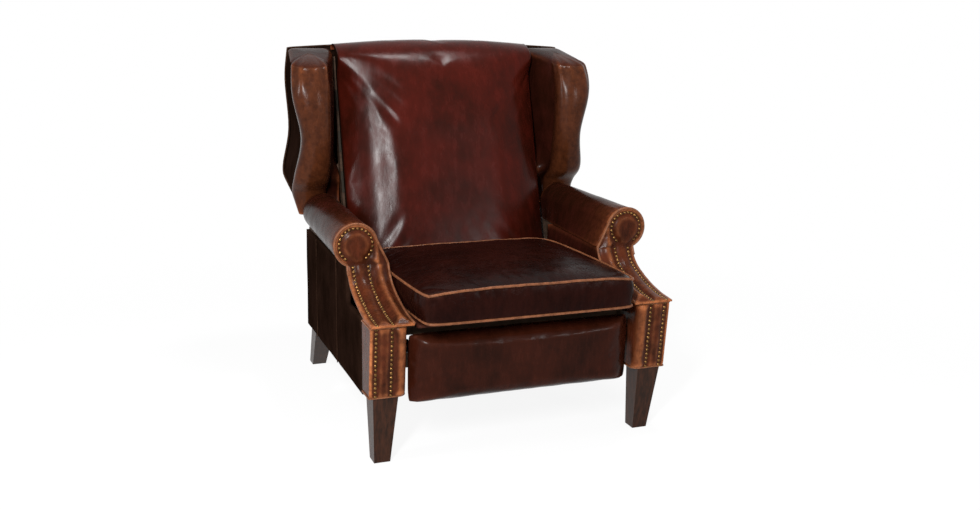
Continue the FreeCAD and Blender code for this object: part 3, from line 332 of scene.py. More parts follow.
def tube(name, path, radius, material, closed=False, wear=0.5):
    """A welt: a round cord of leather along a line of points."""
    line = np.array(path, float)
    count = len(line)
    if closed:
        tangent = np.roll(line, -1, axis=0) - np.roll(line, 1, axis=0)
    else:
        tangent = np.gradient(line, axis=0)
    tangent = unit(tangent)
    side = np.cross(tangent[0], (0, 0, 1))
    if np.linalg.norm(side) < 0.1:
        side = np.cross(tangent[0], (0, 1, 0))
    sides = []
    for along in tangent:
        side = side - along * (side @ along)
        side = side / np.linalg.norm(side)
        sides.append(side)
    sides = np.array(sides)
    others = np.cross(tangent, sides)
    rim = 10
    angles = np.arange(rim) * 2 * math.pi / rim
    points = [
        line[k] + radius * (math.cos(a) * sides[k] + math.sin(a) * others[k])
        for k in range(count) for a in angles
    ]
    if closed:
        faces = []
        for row in range(count):
            low, high = row * rim, (row + 1) % count * rim
            twist = 0
            if row == count - 1:
                gaps = [np.linalg.norm(points[low] - points[shift]) for shift in range(rim)]
                twist = int(np.argmin(gaps))
            for k in range(rim):
                one, two = k, (k + 1) % rim
                faces.append((low + one, low + two, high + (two + twist) % rim, high + (one + twist) % rim))
    else:
        faces = rows_of_faces(count, rim, around=True) + end_faces(count, rim)
    return piece(name, points, faces, material, wear=np.full(len(points), wear))


def distance_to(points, line):
    """Each flat point's distance to a line of straight pieces."""
    nearest = np.full(len(points), np.inf)
    for start, step in zip(line[:-1], np.diff(line, axis=0)):
        share = np.clip((points - start) @ step / max(step @ step, 1e-12), 0, 1)
        gap = np.linalg.norm(points - start - share[:, None] * step, axis=1)
        nearest = np.minimum(nearest, gap)
    return nearest


def rim_distance(points, ring):
    """Each flat point's distance to a closed ring."""
    return distance_to(points, np.vstack([ring, ring[:1]]))


def inside(points, ring):
    """Which flat points lie inside a closed ring."""
    within = np.zeros(len(points), bool)
    for one, two in zip(ring, np.roll(ring, -1, axis=0)):
        if one[1] == two[1]:
            continue
        crosses = (one[1] > points[:, 1]) != (two[1] > points[:, 1])
        at = one[0] + (points[:, 1] - one[1]) * (two[0] - one[0]) / (two[1] - one[1])
        within ^= crosses & (points[:, 0] < at)
    return within


def dense(ring, spacing):
    """A closed ring with its straight stretches cut to that spacing, its corners kept."""
    points = []
    for one, two in zip(ring, np.roll(ring, -1, axis=0)):
        cuts = max(1, round(float(np.linalg.norm(two - one)) / spacing))
        points += [one + (two - one) * k / cuts for k in range(cuts)]
    return np.array(points)


def sewn_panel(ring, seams, spacing):
    """A flat ring filled with triangles that have points along its seams: points, faces, rim."""
    ring = dense(np.array(ring, float), spacing)
    low, high = ring.min(0), ring.max(0)
    rows = []
    for row, y in enumerate(np.arange(low[1], high[1], spacing * 0.866)):
        xs = np.arange(low[0] + spacing * (row % 2) / 2, high[0], spacing)
        rows.append(np.column_stack([xs, np.full(len(xs), y)]))
    grid = np.vstack(rows)
    grid = grid[inside(grid, ring)]
    grid = grid[rim_distance(grid, ring) > spacing * 0.55]
    rows = []
    for seam in seams:
        grid = grid[distance_to(grid, seam) > spacing * 0.45]
        along = resampled(seam, max(2, round(lengths(seam)[-1] / spacing)))
        along = along[inside(along, ring)]
        rows.append(along[rim_distance(along, ring) > spacing * 0.5])
    given = np.vstack([ring, grid] + rows)
    rim = [(k, (k + 1) % len(ring)) for k in range(len(ring))]
    found = delaunay_2d_cdt([Vector(p) for p in given], rim, [], 1, 1e-7)
    flat = np.array([tuple(v) for v in found[0]])
    place = {source: k for k, sources in enumerate(found[3]) for source in sources}
    return flat, [tuple(face) for face in found[2]], [place[k] for k in range(len(ring))]


def walled(faces, rim, top, foot):
    """A panel's placed points with a wall from its rim down to the same rim placed at its foot."""
    points = np.vstack([top, foot[rim]])
    first = len(top)
    count = len(rim)
    walls = [(rim[k], rim[(k + 1) % count], first + (k + 1) % count, first + k) for k in range(count)]
    return points, faces + walls


def dress(obj, body, replaces=()):
    """Puts a finished piece on its body and hides the parts it stands for."""
    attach(obj, body)
    if replaces:
        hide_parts(*replaces)


def mirrored(points, side):
    """Points made for the left, on either side."""
    return np.asarray(points, float) * (side, 1, 1)


# Materials


def colour(text):
    """A colour's linear values from its usual six digits."""
    parts = [int(text[k:k + 2], 16) / 255 for k in (0, 2, 4)]
    linear = [v / 12.92 if v <= 0.04045 else ((v + 0.055) / 1.055) ** 2.4 for v in parts]
    return (*linear, 1.0)


def sockets(tree, ins, outs):
    """Named inputs and outputs of a node group: each is (name, kind, value)."""
    for name, kind, value in ins:
        socket = tree.interface.new_socket(name, in_out="INPUT", socket_type="NodeSocket" + kind)
        socket.default_value = value
    for name, kind in outs:
        tree.interface.new_socket(name, in_out="OUTPUT", socket_type="NodeSocket" + kind)
    return tree.nodes.new("NodeGroupInput"), tree.nodes.new("NodeGroupOutput")


def node(tree, kind, inputs=(), **settings):
    """A node with its settings, each input being a value or another node's output."""
    made = tree.nodes.new("ShaderNode" + kind)
    for name, value in settings.items():
        setattr(made, name, value)
    for key, value in dict(inputs).items():
        if isinstance(value, bpy.types.NodeSocket):
            tree.links.new(value, made.inputs[key])
        else:
            made.inputs[key].default_value = value
    return made


def maths(tree, operation, one, two=0.0, clamp=False):
    """One step of arithmetic on two values, kept from 0 to 1 where it is clamped."""
    return node(tree, "Math", {0: one, 1: two}, operation=operation, use_clamp=clamp).outputs[0]


def spread(tree, value, low, high, to_low=0.0, to_high=1.0):
    """A value moved from one range to another, smoothly and within it."""
    made = node(tree, "MapRange", {"Value": value, "From Min": low, "From Max": high,
                                   "To Min": to_low, "To Max": to_high}, interpolation_type="SMOOTHSTEP")
    return made.outputs["Result"]


def mixed(tree, share, one, two):
    """Two colours mixed by a share."""
    made = node(tree, "Mix", {0: share, 6: one, 7: two}, data_type="RGBA")
    return made.outputs[2]


def grainy(tree, where, scale, detail=3.0, rough=0.55):
    """Cloudy noise from 0 to 1."""
    made = node(tree, "TexNoise", {"Vector": where, "Scale": scale, "Detail": detail, "Roughness": rough})
    return made.outputs["Fac"]


def marks_of(tree, name):
    """A mesh's own values, by name."""
    return node(tree, "Attribute", attribute_type="GEOMETRY", attribute_name=name).outputs["Fac"]


def rubbed_leather():
    """Hide stained dark and rubbed back: clouds of colour, worn edges with a painted highlight, dark crease
    lines, painted shade in hollows, pores and pulls.
    """
    tree = bpy.data.node_groups.new("Rubbed leather", "ShaderNodeTree")
    ins, outs = sockets(tree, [
        ("Stain", "Color", colour("1c0a07")), ("Hide", "Color", colour("4a160d")),
        ("Rubbed", "Color", colour("8a4a28")), ("Cloud Scale", "Float", 7.0),
        ("Wear", "Float", 0.7), ("Soil", "Float", 0.7), ("Gloss", "Float", 0.35),
        ("Crease Scale", "Float", 60.0), ("Crease Depth", "Float", 0.3), ("Pore Scale", "Float", 900.0),
    ], [("Color", "Color"), ("Roughness", "Float"), ("Height", "Float")])
    take = ins.outputs
    where = node(tree, "TexCoord").outputs["Object"]
    cloud = grainy(tree, where, take["Cloud Scale"], 4.0, 0.6)
    smear = node(tree, "Mapping", {"Vector": where, "Scale": (2.2, 2.2, 0.7)}).outputs[0]
    streak = grainy(tree, smear, maths(tree, "MULTIPLY", take["Cloud Scale"], 3.1), 5.0, 0.65)
    clouds = spread(tree, cloud, 0.3, 0.7, 0.0, 0.7)
    tone = maths(tree, "ADD", clouds, spread(tree, streak, 0.35, 0.75, 0.0, 0.4))
    base = mixed(tree, maths(tree, "MINIMUM", tone, 1.0), take["Stain"], take["Hide"])
    warp = node(tree, "TexNoise", {"Vector": where, "Scale": 22.0, "Detail": 2.0}).outputs["Color"]
    nudge = node(tree, "VectorMath", {0: warp, "Scale": 0.03}, operation="SCALE").outputs[0]
    bent = node(tree, "VectorMath", {0: where, 1: nudge}, operation="ADD").outputs[0]
    cells = node(tree, "TexVoronoi", {"Vector": bent, "Scale": take["Crease Scale"]},
                 feature="DISTANCE_TO_EDGE").outputs["Distance"]
    lines = spread(tree, cells, 0.0, 0.09, 1.0, 0.0)
    patches = spread(tree, grainy(tree, where, 11.0, 2.0), 0.45, 0.7)
    creases = maths(tree, "MULTIPLY", maths(tree, "MULTIPLY", lines, patches), take["Crease Depth"])
    broken = spread(tree, grainy(tree, where, 60.0, 4.0, 0.7), 0.25, 0.7, 0.35, 1.0)
    # Rounded edges turn to the rubbed colour: real wear, and a painted highlight.
    rubbing_and_sheen = maths(tree, "MULTIPLY", marks_of(tree, "wear"), broken)
    worn_and_lit = maths(tree, "MULTIPLY", rubbing_and_sheen, take["Wear"], True)
    # The hollows' mark darkens them towards the stain: painted shade.
    soil = maths(tree, "MULTIPLY", marks_of(tree, "soil"), take["Soil"], True)
    dark = maths(tree, "MAXIMUM", soil, maths(tree, "MULTIPLY", creases, 0.6), True)
    base = mixed(tree, worn_and_lit, base, take["Rubbed"])
    base = mixed(tree, dark, base, mixed(tree, 0.75, base, take["Stain"]))
    pores = grainy(tree, where, take["Pore Scale"], 2.0)
    ripples = grainy(tree, smear, 26.0, 3.0)
    rough = maths(tree, "ADD", take["Gloss"], spread(tree, streak, 0.3, 0.8, -0.05, 0.09))
    rough = maths(tree, "ADD", rough, maths(tree, "MULTIPLY", worn_and_lit, 0.05))
    height = maths(tree, "ADD", maths(tree, "MULTIPLY", pores, 0.05), maths(tree, "MULTIPLY", ripples, 0.45))
    height = maths(tree, "SUBTRACT", height, creases)
    tree.links.new(base, outs.inputs["Color"])
    tree.links.new(rough, outs.inputs["Roughness"])
    tree.links.new(height, outs.inputs["Height"])
    return tree


LEATHER = rubbed_leather()

# How deep the hide's bumps are, in metres
LEATHER_RELIEF = 0.0012


def surface(name):
    """A new material with its shader, for its own nodes to feed."""
    made = bpy.data.materials.new(name)
    made.use_nodes = True
    tree = made.node_tree
    shader = next(n for n in tree.nodes if n.type == "BSDF_PRINCIPLED")
    return made, tree, shader


def leather(name, stain, hide, rubbed, gloss=0.24, shine=0.08, **values):
    """A leather from its three colours, how rough and how shiny it is, and the shared hide's own values."""
    made, tree, shader = surface(name)
    skin = tree.nodes.new("ShaderNodeGroup")
    skin.node_tree = LEATHER
    settings = {"Stain": colour(stain), "Hide": colour(hide), "Rubbed": colour(rubbed), "Gloss": gloss}
    settings.update({key.replace("_", " ").title(): value for key, value in values.items()})
    for key, value in settings.items():
        skin.inputs[key].default_value = value
    relief = {"Strength": 0.5, "Distance": LEATHER_RELIEF, "Height": skin.outputs["Height"]}
    bumps = node(tree, "Bump", relief)
    tree.links.new(skin.outputs["Color"], shader.inputs["Base Color"])
    tree.links.new(skin.outputs["Roughness"], shader.inputs["Roughness"])
    tree.links.new(bumps.outputs[0], shader.inputs["Normal"])
    shader.inputs["Specular IOR Level"].default_value = shine
    return made


def stained_wood(name, dark, light, gloss, stretch=(9, 9, 1), scale=14.0):
    """Grain that runs along the pieces' length, under a thin finish."""
    made, tree, shader = surface(name)
    where = node(tree, "TexCoord").outputs["Object"]
    along = node(tree, "Mapping", {"Vector": where, "Scale": stretch}).outputs[0]
    figure = grainy(tree, along, scale, 6.0, 0.65)
    fibre = grainy(tree, along, scale * 9, 3.0)
    tone = maths(tree, "ADD", spread(tree, figure, 0.3, 0.7, 0.0, 0.75), maths(tree, "MULTIPLY", fibre, 0.3))
    tree.links.new(mixed(tree, maths(tree, "MINIMUM", tone, 1.0), colour(dark), colour(light)),
                   shader.inputs["Base Color"])
    tree.links.new(spread(tree, fibre, 0.3, 0.8, gloss, gloss + 0.12), shader.inputs["Roughness"])
    shader.inputs["Specular IOR Level"].default_value = 0.12
    bumps = node(tree, "Bump", {"Strength": 0.4, "Distance": 0.0004, "Height": fibre})
    tree.links.new(bumps.outputs[0], shader.inputs["Normal"])
    return made


def metal(name, clean, aged, gloss, scale=80.0):
    """Metal with dull spots."""
    made, tree, shader = surface(name)
    where = node(tree, "TexCoord").outputs["Object"]
    spots = grainy(tree, where, scale, 4.0, 0.65)
    tree.links.new(mixed(tree, spread(tree, spots, 0.35, 0.68), colour(clean), colour(aged)),
                   shader.inputs["Base Color"])
    tree.links.new(spread(tree, spots, 0.3, 0.7, gloss, gloss + 0.2), shader.inputs["Roughness"])
    bumps = node(tree, "Bump", {"Strength": 0.3, "Distance": 0.0003,
                                "Height": grainy(tree, where, scale * 6)})
    tree.links.new(bumps.outputs[0], shader.inputs["Normal"])
    shader.inputs["Metallic"].default_value = 1.0
    return made


def woven(name, dark, light, scale):
    """Cloth with crossing threads."""
    made, tree, shader = surface(name)
    where = node(tree, "TexCoord").outputs["Object"]
    bands = [
        node(tree, "TexWave", {"Vector": where, "Scale": scale}, bands_direction=way).outputs["Fac"]
        for way in ("X", "DIAGONAL")
    ]
    threads = maths(tree, "MULTIPLY", *bands)
    tree.links.new(mixed(tree, threads, colour(dark), colour(light)), shader.inputs["Base Color"])
    bumps = node(tree, "Bump", {"Strength": 0.6, "Distance": 0.0006, "Height": threads})
    tree.links.new(bumps.outputs[0], shader.inputs["Normal"])
    shader.inputs["Roughness"].default_value = 0.85
    shader.inputs["Specular IOR Level"].default_value = 0.1
    return made


BACK_HIDE = leather(
    "oxblood back leather", "1b0703", "380d07", "884c2e",
    gloss=0.25, shine=0.065, cloud_scale=5.0, wear=0.5, crease_depth=0.1,
)
ARM_HIDE = leather(
    "oxblood arm leather", "150703", "280d08", "763e24",
    gloss=0.26, shine=0.03, cloud_scale=8.0, wear=0.5,
)
SEAT_HIDE = leather(
    "near black seat leather", "0d0302", "1c0805", "4e2b21",
    gloss=0.28, shine=0.03, cloud_scale=9.0, wear=0.5, crease_scale=75.0, crease_depth=0.6,
)
REST_HIDE = leather(
    "footrest leather", "170703", "2b0f07", "623526",
    gloss=0.24, shine=0.06, cloud_scale=8.0, wear=0.5, crease_depth=0.2,
)
WING_HIDE = leather(
    "rubbed wing leather", "150603", "250e07", "8a4c2a",
    gloss=0.24, cloud_scale=14.0, wear=0.6, soil=0.9, crease_depth=0.2,
)
TAN_HIDE = leather(
    "cognac leather", "240f07", "461f10", "a8653d",
    gloss=0.27, shine=0.05, cloud_scale=16.0, wear=0.75, soil=0.9, crease_depth=0.2,
)
# Also laid on the back pad's side walls as painted shade.
SIDE_HIDE_AND_PAD_SHADE = leather(
    "dark side leather and pad wall shade", "100805", "1e120d", "432f24",
    gloss=0.34, shine=0.0, cloud_scale=6.0, wear=0.5, crease_depth=0.15,
)
WELT_HIDE = leather(
    "rubbed welt leather", "211008", "422315", "794c33",
    gloss=0.32, cloud_scale=40.0, wear=0.8,
)
LEG_WOOD = stained_wood("espresso leg wood", "120a05", "351c10", 0.3)
# The frame wood is darker than bare wood: painted shade on the slivers that show in the gaps.
SHADED_FRAME_WOOD = stained_wood("frame wood darkened as painted shade", "2a1e14", "46352a", 0.6, stretch=(2, 2, 6))
BLACK_STEEL = metal("black steel", "101012", "1c1a19", 0.38)
ZINC_STEEL = metal("zinc plated steel", "8a8a86", "5d5c58", 0.28)
BRASS = metal("aged brass", "7a5a34", "26180e", 0.34, scale=260.0)
WEBBING = woven("elastic webbing", "1c1916", "4b443b", 160.0)
DECK_CLOTH = woven("black deck cloth", "0d0b0a", "221f1d", 260.0)


def finish_cad_nodes():
    """Gives every node that stays in view its finish, by the slot that the record names for it."""
    by_slot = {
        "leg_wood": LEG_WOOD, "frame_wood": SHADED_FRAME_WOOD, "black_steel": BLACK_STEEL,
        "zinc_steel": ZINC_STEEL, "aged_brass": BRASS, "webbing": WEBBING, "deck_cloth": DECK_CLOTH,
        "oxblood_leather": ARM_HIDE, "seat_leather": SEAT_HIDE, "footrest_leather": REST_HIDE,
        "tan_leather": TAN_HIDE, "dark_leather": SIDE_HIDE_AND_PAD_SHADE,
    }
    slots = {row["node"]: row["material_slot"] for row in frame["record"]["subparts"]}
    for name, obj in frame["nodes"].items():
        for holder in obj.material_slots:
            holder.material = by_slot[slots[name]]


# The seat

DECK_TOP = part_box("seat_deck")[1].z


def seat_cushion():
    """A boxed cushion: crowned top, bulging border, soft corners, and a welt round each seam."""
    low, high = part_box("seat_cushion")
    across, along, up = 74, 72, 12
    grid, faces, numbers = box_grid(across, along, up)
    u, v, w = grid.T
    corner_pull, side_swell, end_pull = 0.030, 0.007, 0.035
    border_front, border_rear, border_dip = 0.082, 0.069, 0.007
    crown_height, border_bulge = 0.024, 0.007
    on_skin = 0.999
    front, rear = low.y + 0.003, high.y
    plan = 1 - corner_pull * np.abs(v) ** 12
    x = u * (high.x + side_swell * (1 - v ** 2)) * plan
    middle_y = (front + rear) / 2
    y = middle_y + v * (rear - front) / 2 * (1 - end_pull * np.abs(u) ** 14)
    border = border_front + (border_rear - border_front) * (v + 1) / 2 - border_dip * np.abs(u) ** 8
    z = DECK_TOP + (w + 1) / 2 * border
    crown = crown_height * (1 - np.abs(u) ** 2.6) * (1 - np.abs(v + 0.1) ** 2.4).clip(0)
    z = z + np.where(w > on_skin, crown, 0)
    bulge = border_bulge * (1 - w ** 2)
    x = x + np.where(np.abs(u) > on_skin, np.sign(u) * bulge, 0)
    y = y + np.where(v < -on_skin, -bulge * 0.6, 0) + np.where(v > on_skin, bulge * 0.3, 0)
    points = np.column_stack([x, y, z])
    seams = {}
    for name, k in (("top", up), ("foot", 0)):
        ring = [(0, j, k) for j in range(along, 0, -1)] + [(i, 0, k) for i in range(across)]
        ring += [(across, j, k) for j in range(along)] + [(i, along, k) for i in range(across, 0, -1)]
        seams[name] = [numbers[place] for place in ring]
    flat = [n for (i, j, k), n in numbers.items() if k == 0]
    held = set(seams["top"]) | set(seams["foot"]) | set(flat)
    points = relaxed(points, faces, 6, 0.5, held)
    points = relaxed(points, faces, 2, 0.3, set(flat) - set(seams["foot"]))
    points = puffed(points, faces, sorted(held), 3.0, 0.007, slack=0.010)
    points[:, 2] = np.maximum(points[:, 2], DECK_TOP)
    sag = 0.0025 * waves(points, 9.0, 1) + 0.0012 * waves(points, 26.0, 2)
    points[:, 2] += np.where(w > on_skin, sag * (1 - np.abs(u) ** 6), 0)
    cushion = piece("seat_cushion_leather", points, faces, SEAT_HIDE, subdivide=True)
    dress(cushion, "seat", ["seat_cushion"])
    for name, lift in (("top", 0.0), ("foot", 0.0035)):
        line = points[seams[name]]
        outward = unit((line - line.mean(0)) * (1, 1, 0))
        line = line + outward * 0.0015 + (0, 0, lift)
        welt = tube(f"seat_cushion_{name}_welt", line, 0.0034, WELT_HIDE, closed=True, wear=0.1)
        dress(welt, "seat")


def seat_deck():
    """The deck under the cushion, its front edge rounded and covered in the seat's leather."""
    low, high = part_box("seat_deck")
    grid, faces, _ = box_grid(60, 40, 4)
    u, v, w = grid.T
    middle = (low + high) / 2
    x = middle.x + u * (high.x - low.x) / 2
    y = middle.y + v * (high.y - low.y) / 2
    nose = ease(-v, 0.86, 1.0)
    z = middle.z + w * (high.z - low.z) / 2 * (1 - 0.25 * nose)
    y = y - 0.006 * nose * (1 - w ** 2)
    points = relaxed(np.column_stack([x, y, z]), faces, 2, 0.4)
    deck = piece("seat_deck_cover", points, faces, SEAT_HIDE, subdivide=True)
    dress(deck, "seat", ["seat_deck"])


# The back

BACK_FRONT = [
    (0.092, 0.395), (0.124, 0.500), (0.162, 0.620), (0.190, 0.715), (0.213, 0.800), (0.240, 0.885),
    (0.266, 0.953), (0.296, 0.997), (0.345, 1.018), (0.380, 1.013), (0.403, 0.998),
]


# A place on the back frame's front plane, and how far the plane leans in degrees
FRAME_Y, FRAME_Z, FRAME_LEAN = 0.205, 0.375, 14.6


def back_pad():
    """The inside back: one crowned pad, drawn back to the wings, rolled over the top."""
    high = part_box("back_pad")[1]
    side_drop, crest_arch, crest_share = 0.078, 0.014, 0.75
    profile = resampled(smooth_line(BACK_FRONT, 10), 96)
    rows, columns = 81, len(profile)
    shares = np.sin(np.linspace(-math.pi / 2, math.pi / 2, rows)) * 0.35 + np.linspace(-1, 1, rows) * 0.65
    rise = ease(profile[:, 1], 0.90, 1.0)
    points = []
    for share in shares:
        drop = side_drop * abs(share) ** 5.0
        y = profile[:, 0] + drop * (1 - crest_share * rise)
        z = profile[:, 1] - crest_arch * share ** 2 * rise
        y = np.minimum(y, high.y - 0.002)
        points.append(np.column_stack([np.full(columns, share * high.x), y, z]))
    points = np.vstack(points)
    faces = rows_of_faces(rows, columns)
    edge = [row * columns for row in range(rows)] + list(range((rows - 1) * columns, rows * columns))[1:]
    edge += [row * columns + columns - 1 for row in range(rows - 1)][::-1] + list(range(columns - 1))[:0:-1]
    points = relaxed(points, faces, 4, 0.5, edge)
    points = puffed(points, faces, sorted(set(edge)), -1.5, 0.004, slack=0.002)
    points[:, 1] += 0.0016 * waves(points, 5.0, 3)
    rear = np.minimum(points[:, 1] + 0.002, high.y)
    plane = FRAME_Y + (points[:, 2] - FRAME_Z) * math.tan(math.radians(FRAME_LEAN)) - 0.002
    behind = np.column_stack([points[:, 0], np.clip(plane, rear, high.y), points[:, 2]])
    count = len(points)
    faces = faces + [tuple(count + v for v in face[::-1]) for face in faces]
    walls = zip(edge, edge[1:] + edge[:1])
    faces += [(one, two, count + two, count + one) for one, two in walls]
    points = np.vstack([points, behind])
    # The pad's rear and side walls take the dark side leather: painted shade in the valleys beside the
    # wings.
    pad = piece("back_pad_leather", points, faces, [BACK_HIDE, SIDE_HIDE_AND_PAD_SHADE], subdivide=True)
    for face in pad.data.polygons:
        if max(face.vertices) >= count:
            face.material_index = 1
    dress(pad, "back", ["back_pad"])


WING_HEIGHTS = [
    # height, half width at the roll, half width at the rear, front of the roll
    (0.515, 0.434, 0.410, 0.262), (0.585, 0.450, 0.440, 0.257), (0.640, 0.452, 0.450, 0.210),
    (0.755, 0.436, 0.430, 0.184), (0.900, 0.461, 0.438, 0.184), (1.000, 0.450, 0.430, 0.228),
]
WING_INNER = 0.311
WING_FOOT, WING_TALL = 0.515, 0.452
WING_CENTRE = np.array([0.385, 0.325])
ROLL_INNER = 0.350
ROLL_DEPTH = 0.042
SLOPE_FRONT, SLOPE_REAR = (0.228, 0.950), (0.405, 0.990)

# How many points are on the inner face, on its way to the roll, on the roll, the outer face and the rear
WING_STEPS = (8, 12, 30, 16, 12)


def rear_of_wing(height):
    """Where the outer back's inner face is at a height."""
    return np.interp(height, [0.345, 0.494, 0.620, 1.1], [0.272, 0.280, 0.405, 0.405])


def wing_top(y):
    """How high the wing's sloping top is at a place from front to rear."""
    slope = (SLOPE_REAR[1] - SLOPE_FRONT[1]) / (SLOPE_REAR[0] - SLOPE_FRONT[0])
    return SLOPE_FRONT[1] + slope * (y - SLOPE_FRONT[0])


def straight_steps(corners, counts):
    """Points on straight lines from corner to corner, with that many on each line."""
    points = []
    for count, one, two in zip(counts, corners, corners[1:]):
        points += [np.array(one) + (np.array(two) - one) * k / count for k in range(count)]
    return points


def wing_section(level, table):
    """The wing's outline at a level, 0 at its foot and 1 at its top."""
    z = WING_FOOT + level * WING_TALL
    half, rear_half, front = (np.interp(z, table[:, 0], table[:, k]) for k in (1, 2, 3))
    rear = float(rear_of_wing(z)) - 0.002
    depth = min(ROLL_DEPTH, 0.45 * (rear - front))
    fill = 0.3 + 0.5 * (1 - float(ease(z, 0.60, 0.70)))
    valley = rear - fill * (rear - front)
    middle, spread_x = (ROLL_INNER + half) / 2, (half - ROLL_INNER) / 2
    angles = np.radians(np.linspace(180, 360, WING_STEPS[2], endpoint=False))
    roll = np.column_stack([
        middle + spread_x * np.sign(np.cos(angles)) * np.abs(np.cos(angles)) ** 0.85,
        front + depth + depth * np.sin(angles),
    ])
    inner = [(WING_INNER, rear), (WING_INNER, valley), (ROLL_INNER, front + depth)]
    outer = [(half, front + depth), (rear_half, rear), (WING_INNER, rear)]
    before, after = straight_steps(inner, WING_STEPS[:2]), straight_steps(outer, WING_STEPS[3:])
    ring = np.vstack([before, roll, after])
    for _ in range(2):
        ring = 0.5 * ring + 0.25 * (np.roll(ring, 1, axis=0) + np.roll(ring, -1, axis=0))
    return ring


def wing_pads():
    """Each wing: a flat inner face, a fat roll down its front edge and a flat outer face."""
    table = smooth_line(WING_HEIGHTS, 14)
    rows = 84
    levels = np.linspace(0, 1, rows)
    rings = [wing_section(level, table) for level in levels]
    columns = len(rings[0])
    points = []
    for level, ring in zip(levels, rings):
        heights = WING_FOOT + level * (wing_top(ring[:, 1]) - WING_FOOT)
        points.append(np.column_stack([ring, heights]))
    last = points[-1][:, :2]
    for inset, rise in ((0.10, 0.004), (0.24, 0.0065), (0.45, 0.008), (0.7, 0.009), (0.9, 0.0095)):
        ring = last + (WING_CENTRE - last) * inset
        points.append(np.column_stack([ring, wing_top(ring[:, 1]) + rise]))
    count = len(points)
    points = np.vstack(points)
    sides = rows_of_faces(count, columns, around=True)
    faces = sides + end_faces(count, columns)[::-1]
    first = WING_STEPS[0] + WING_STEPS[1]
    last_column = first + WING_STEPS[2]
    around = np.tile(np.arange(columns), count)
    level_of = np.repeat(np.arange(count), columns)
    on_roll = (around >= first) & (around <= last_column)
    share = (around - first) / WING_STEPS[2]
    puff = np.where(on_roll, np.sin(np.clip(share, 0, 1) * math.pi) ** 0.6, 0)
    groove = np.exp(-((around - first) / 1.2) ** 2) + np.exp(-((around - last_column) / 1.2) ** 2)
    low_wing = ease(points[:, 2], 0.53, 0.60)
    points = relaxed(points, sides, 2, 0.4)
    tucks = np.cos(share * math.pi * 9) * np.where(on_roll, 1, 0)
    tucks *= ease(level_of, rows - 16, rows - 2) * (1 - ease(level_of, rows, count - 1))
    outward = unit(points[:, :2] - (0.392, 0.30))
    amount = (0.004 * puff - 0.0025 * groove) * low_wing + 0.0022 * tucks
    points[:, :2] += outward * amount[:, None]
    points[:, 0] += 0.0015 * waves(points, 12.0, 5) * low_wing
    # The roll's crest gets more of the wear mark: rubbed, lighter leather and a painted highlight along it.
    hides = [WING_HIDE, SIDE_HIDE_AND_PAD_SHADE, ARM_HIDE]
    for name, side in SIDES.items():
        wing = piece(f"{name}_wing_leather", mirrored(points, side), faces, hides, wear=0.25 * puff,
                     subdivide=True)
        for face in wing.data.polygons:
            columns_here = [v % columns for v in face.vertices]
            where = min(columns_here) if max(columns_here) - min(columns_here) < columns / 2 else columns
            if where >= last_column:
                face.material_index = 1
            elif where < first:
                face.material_index = 2
            if min(face.vertices) >= (rows - 1) * columns:
                face.material_index = 2
        dress(wing, "back", [f"{name}_wing_pad"])


def outer_back():
    """The rear of the back: one panel that bends in at its foot, with a welt round its edge."""
    path = SidePath([(0.284, 0.345), (0.292, 0.494), (0.417, 0.620), (0.417, 1.02)])
    half = [(0.515, 0.410), (0.585, 0.440), (0.640, 0.450), (0.755, 0.430), (0.900, 0.438), (0.990, 0.430)]
    rim = [(x, path.run_at(z)) for z, x in smooth_line(half, 6)]
    crest = [(x, path.run_at(1.004 - 0.014 * (x / 0.430) ** 2)) for x in np.linspace(0.40, -0.40, 24)]
    left = [(0.300, path.run_at(0.345)), (0.300, path.run_at(0.494))] + rim
    right = [(-x, s) for x, s in reversed(left)]
    ring = dense(np.array(left + crest + right), 0.012)
    flat, faces, edge = sewn_panel(ring, [], 0.012)
    gap = rim_distance(flat, ring)
    height = 0.007 * swell(gap, 0.03) - 0.003
    top = path.place(flat, height)
    foot = path.place(flat, np.full(len(flat), -0.011))
    points, faces = walled(faces, edge, top, foot)
    cover = piece("outer_back_leather", points, faces, SIDE_HIDE_AND_PAD_SHADE)
    dress(cover, "back", ["back_outer_cover"])
    line = path.place(ring, np.full(len(ring), -0.002))
    welt = tube("outer_back_welt", line, 0.0035, SIDE_HIDE_AND_PAD_SHADE, closed=True, wear=0.3)
    dress(welt, "back")


# The arms

ROLL_X, ROLL_Z = 0.387, 0.527
SCROLL_RADIUS = 0.055
NAIL_RING = 0.044
OUTER_ROW, INNER_ROW = 0.395, 0.355
FACE_Y = -0.199
ARM_TOP = 0.475

# The side view of the front of each arm, as places from front to rear and heights
SWEEP_LOW = [(-0.432, 0.379), (-0.378, 0.384), (-0.328, 0.394), (-0.288, 0.406), (-0.252, 0.420)]
SWEEP_HIGH = [(-0.252, 0.420), (-0.234, 0.430), (-0.220, 0.442), (-0.208, 0.457), (FACE_Y, ARM_TOP)]
ARM_PAD_FRONT = [(-0.330, 0.389), (-0.288, 0.405), (-0.252, 0.420), (-0.220, 0.442), (-0.200, 0.474)]


def sweep_path():
    """The facing's line from its lip over the post, up the sweep, to the top of the scroll."""
    lower = smooth_line(SWEEP_LOW, 10)
    upper = smooth_line(SWEEP_HIGH, 10)
    return SidePath(np.vstack([lower, upper[1:], [[FACE_Y, 0.60]]]), out=-1)


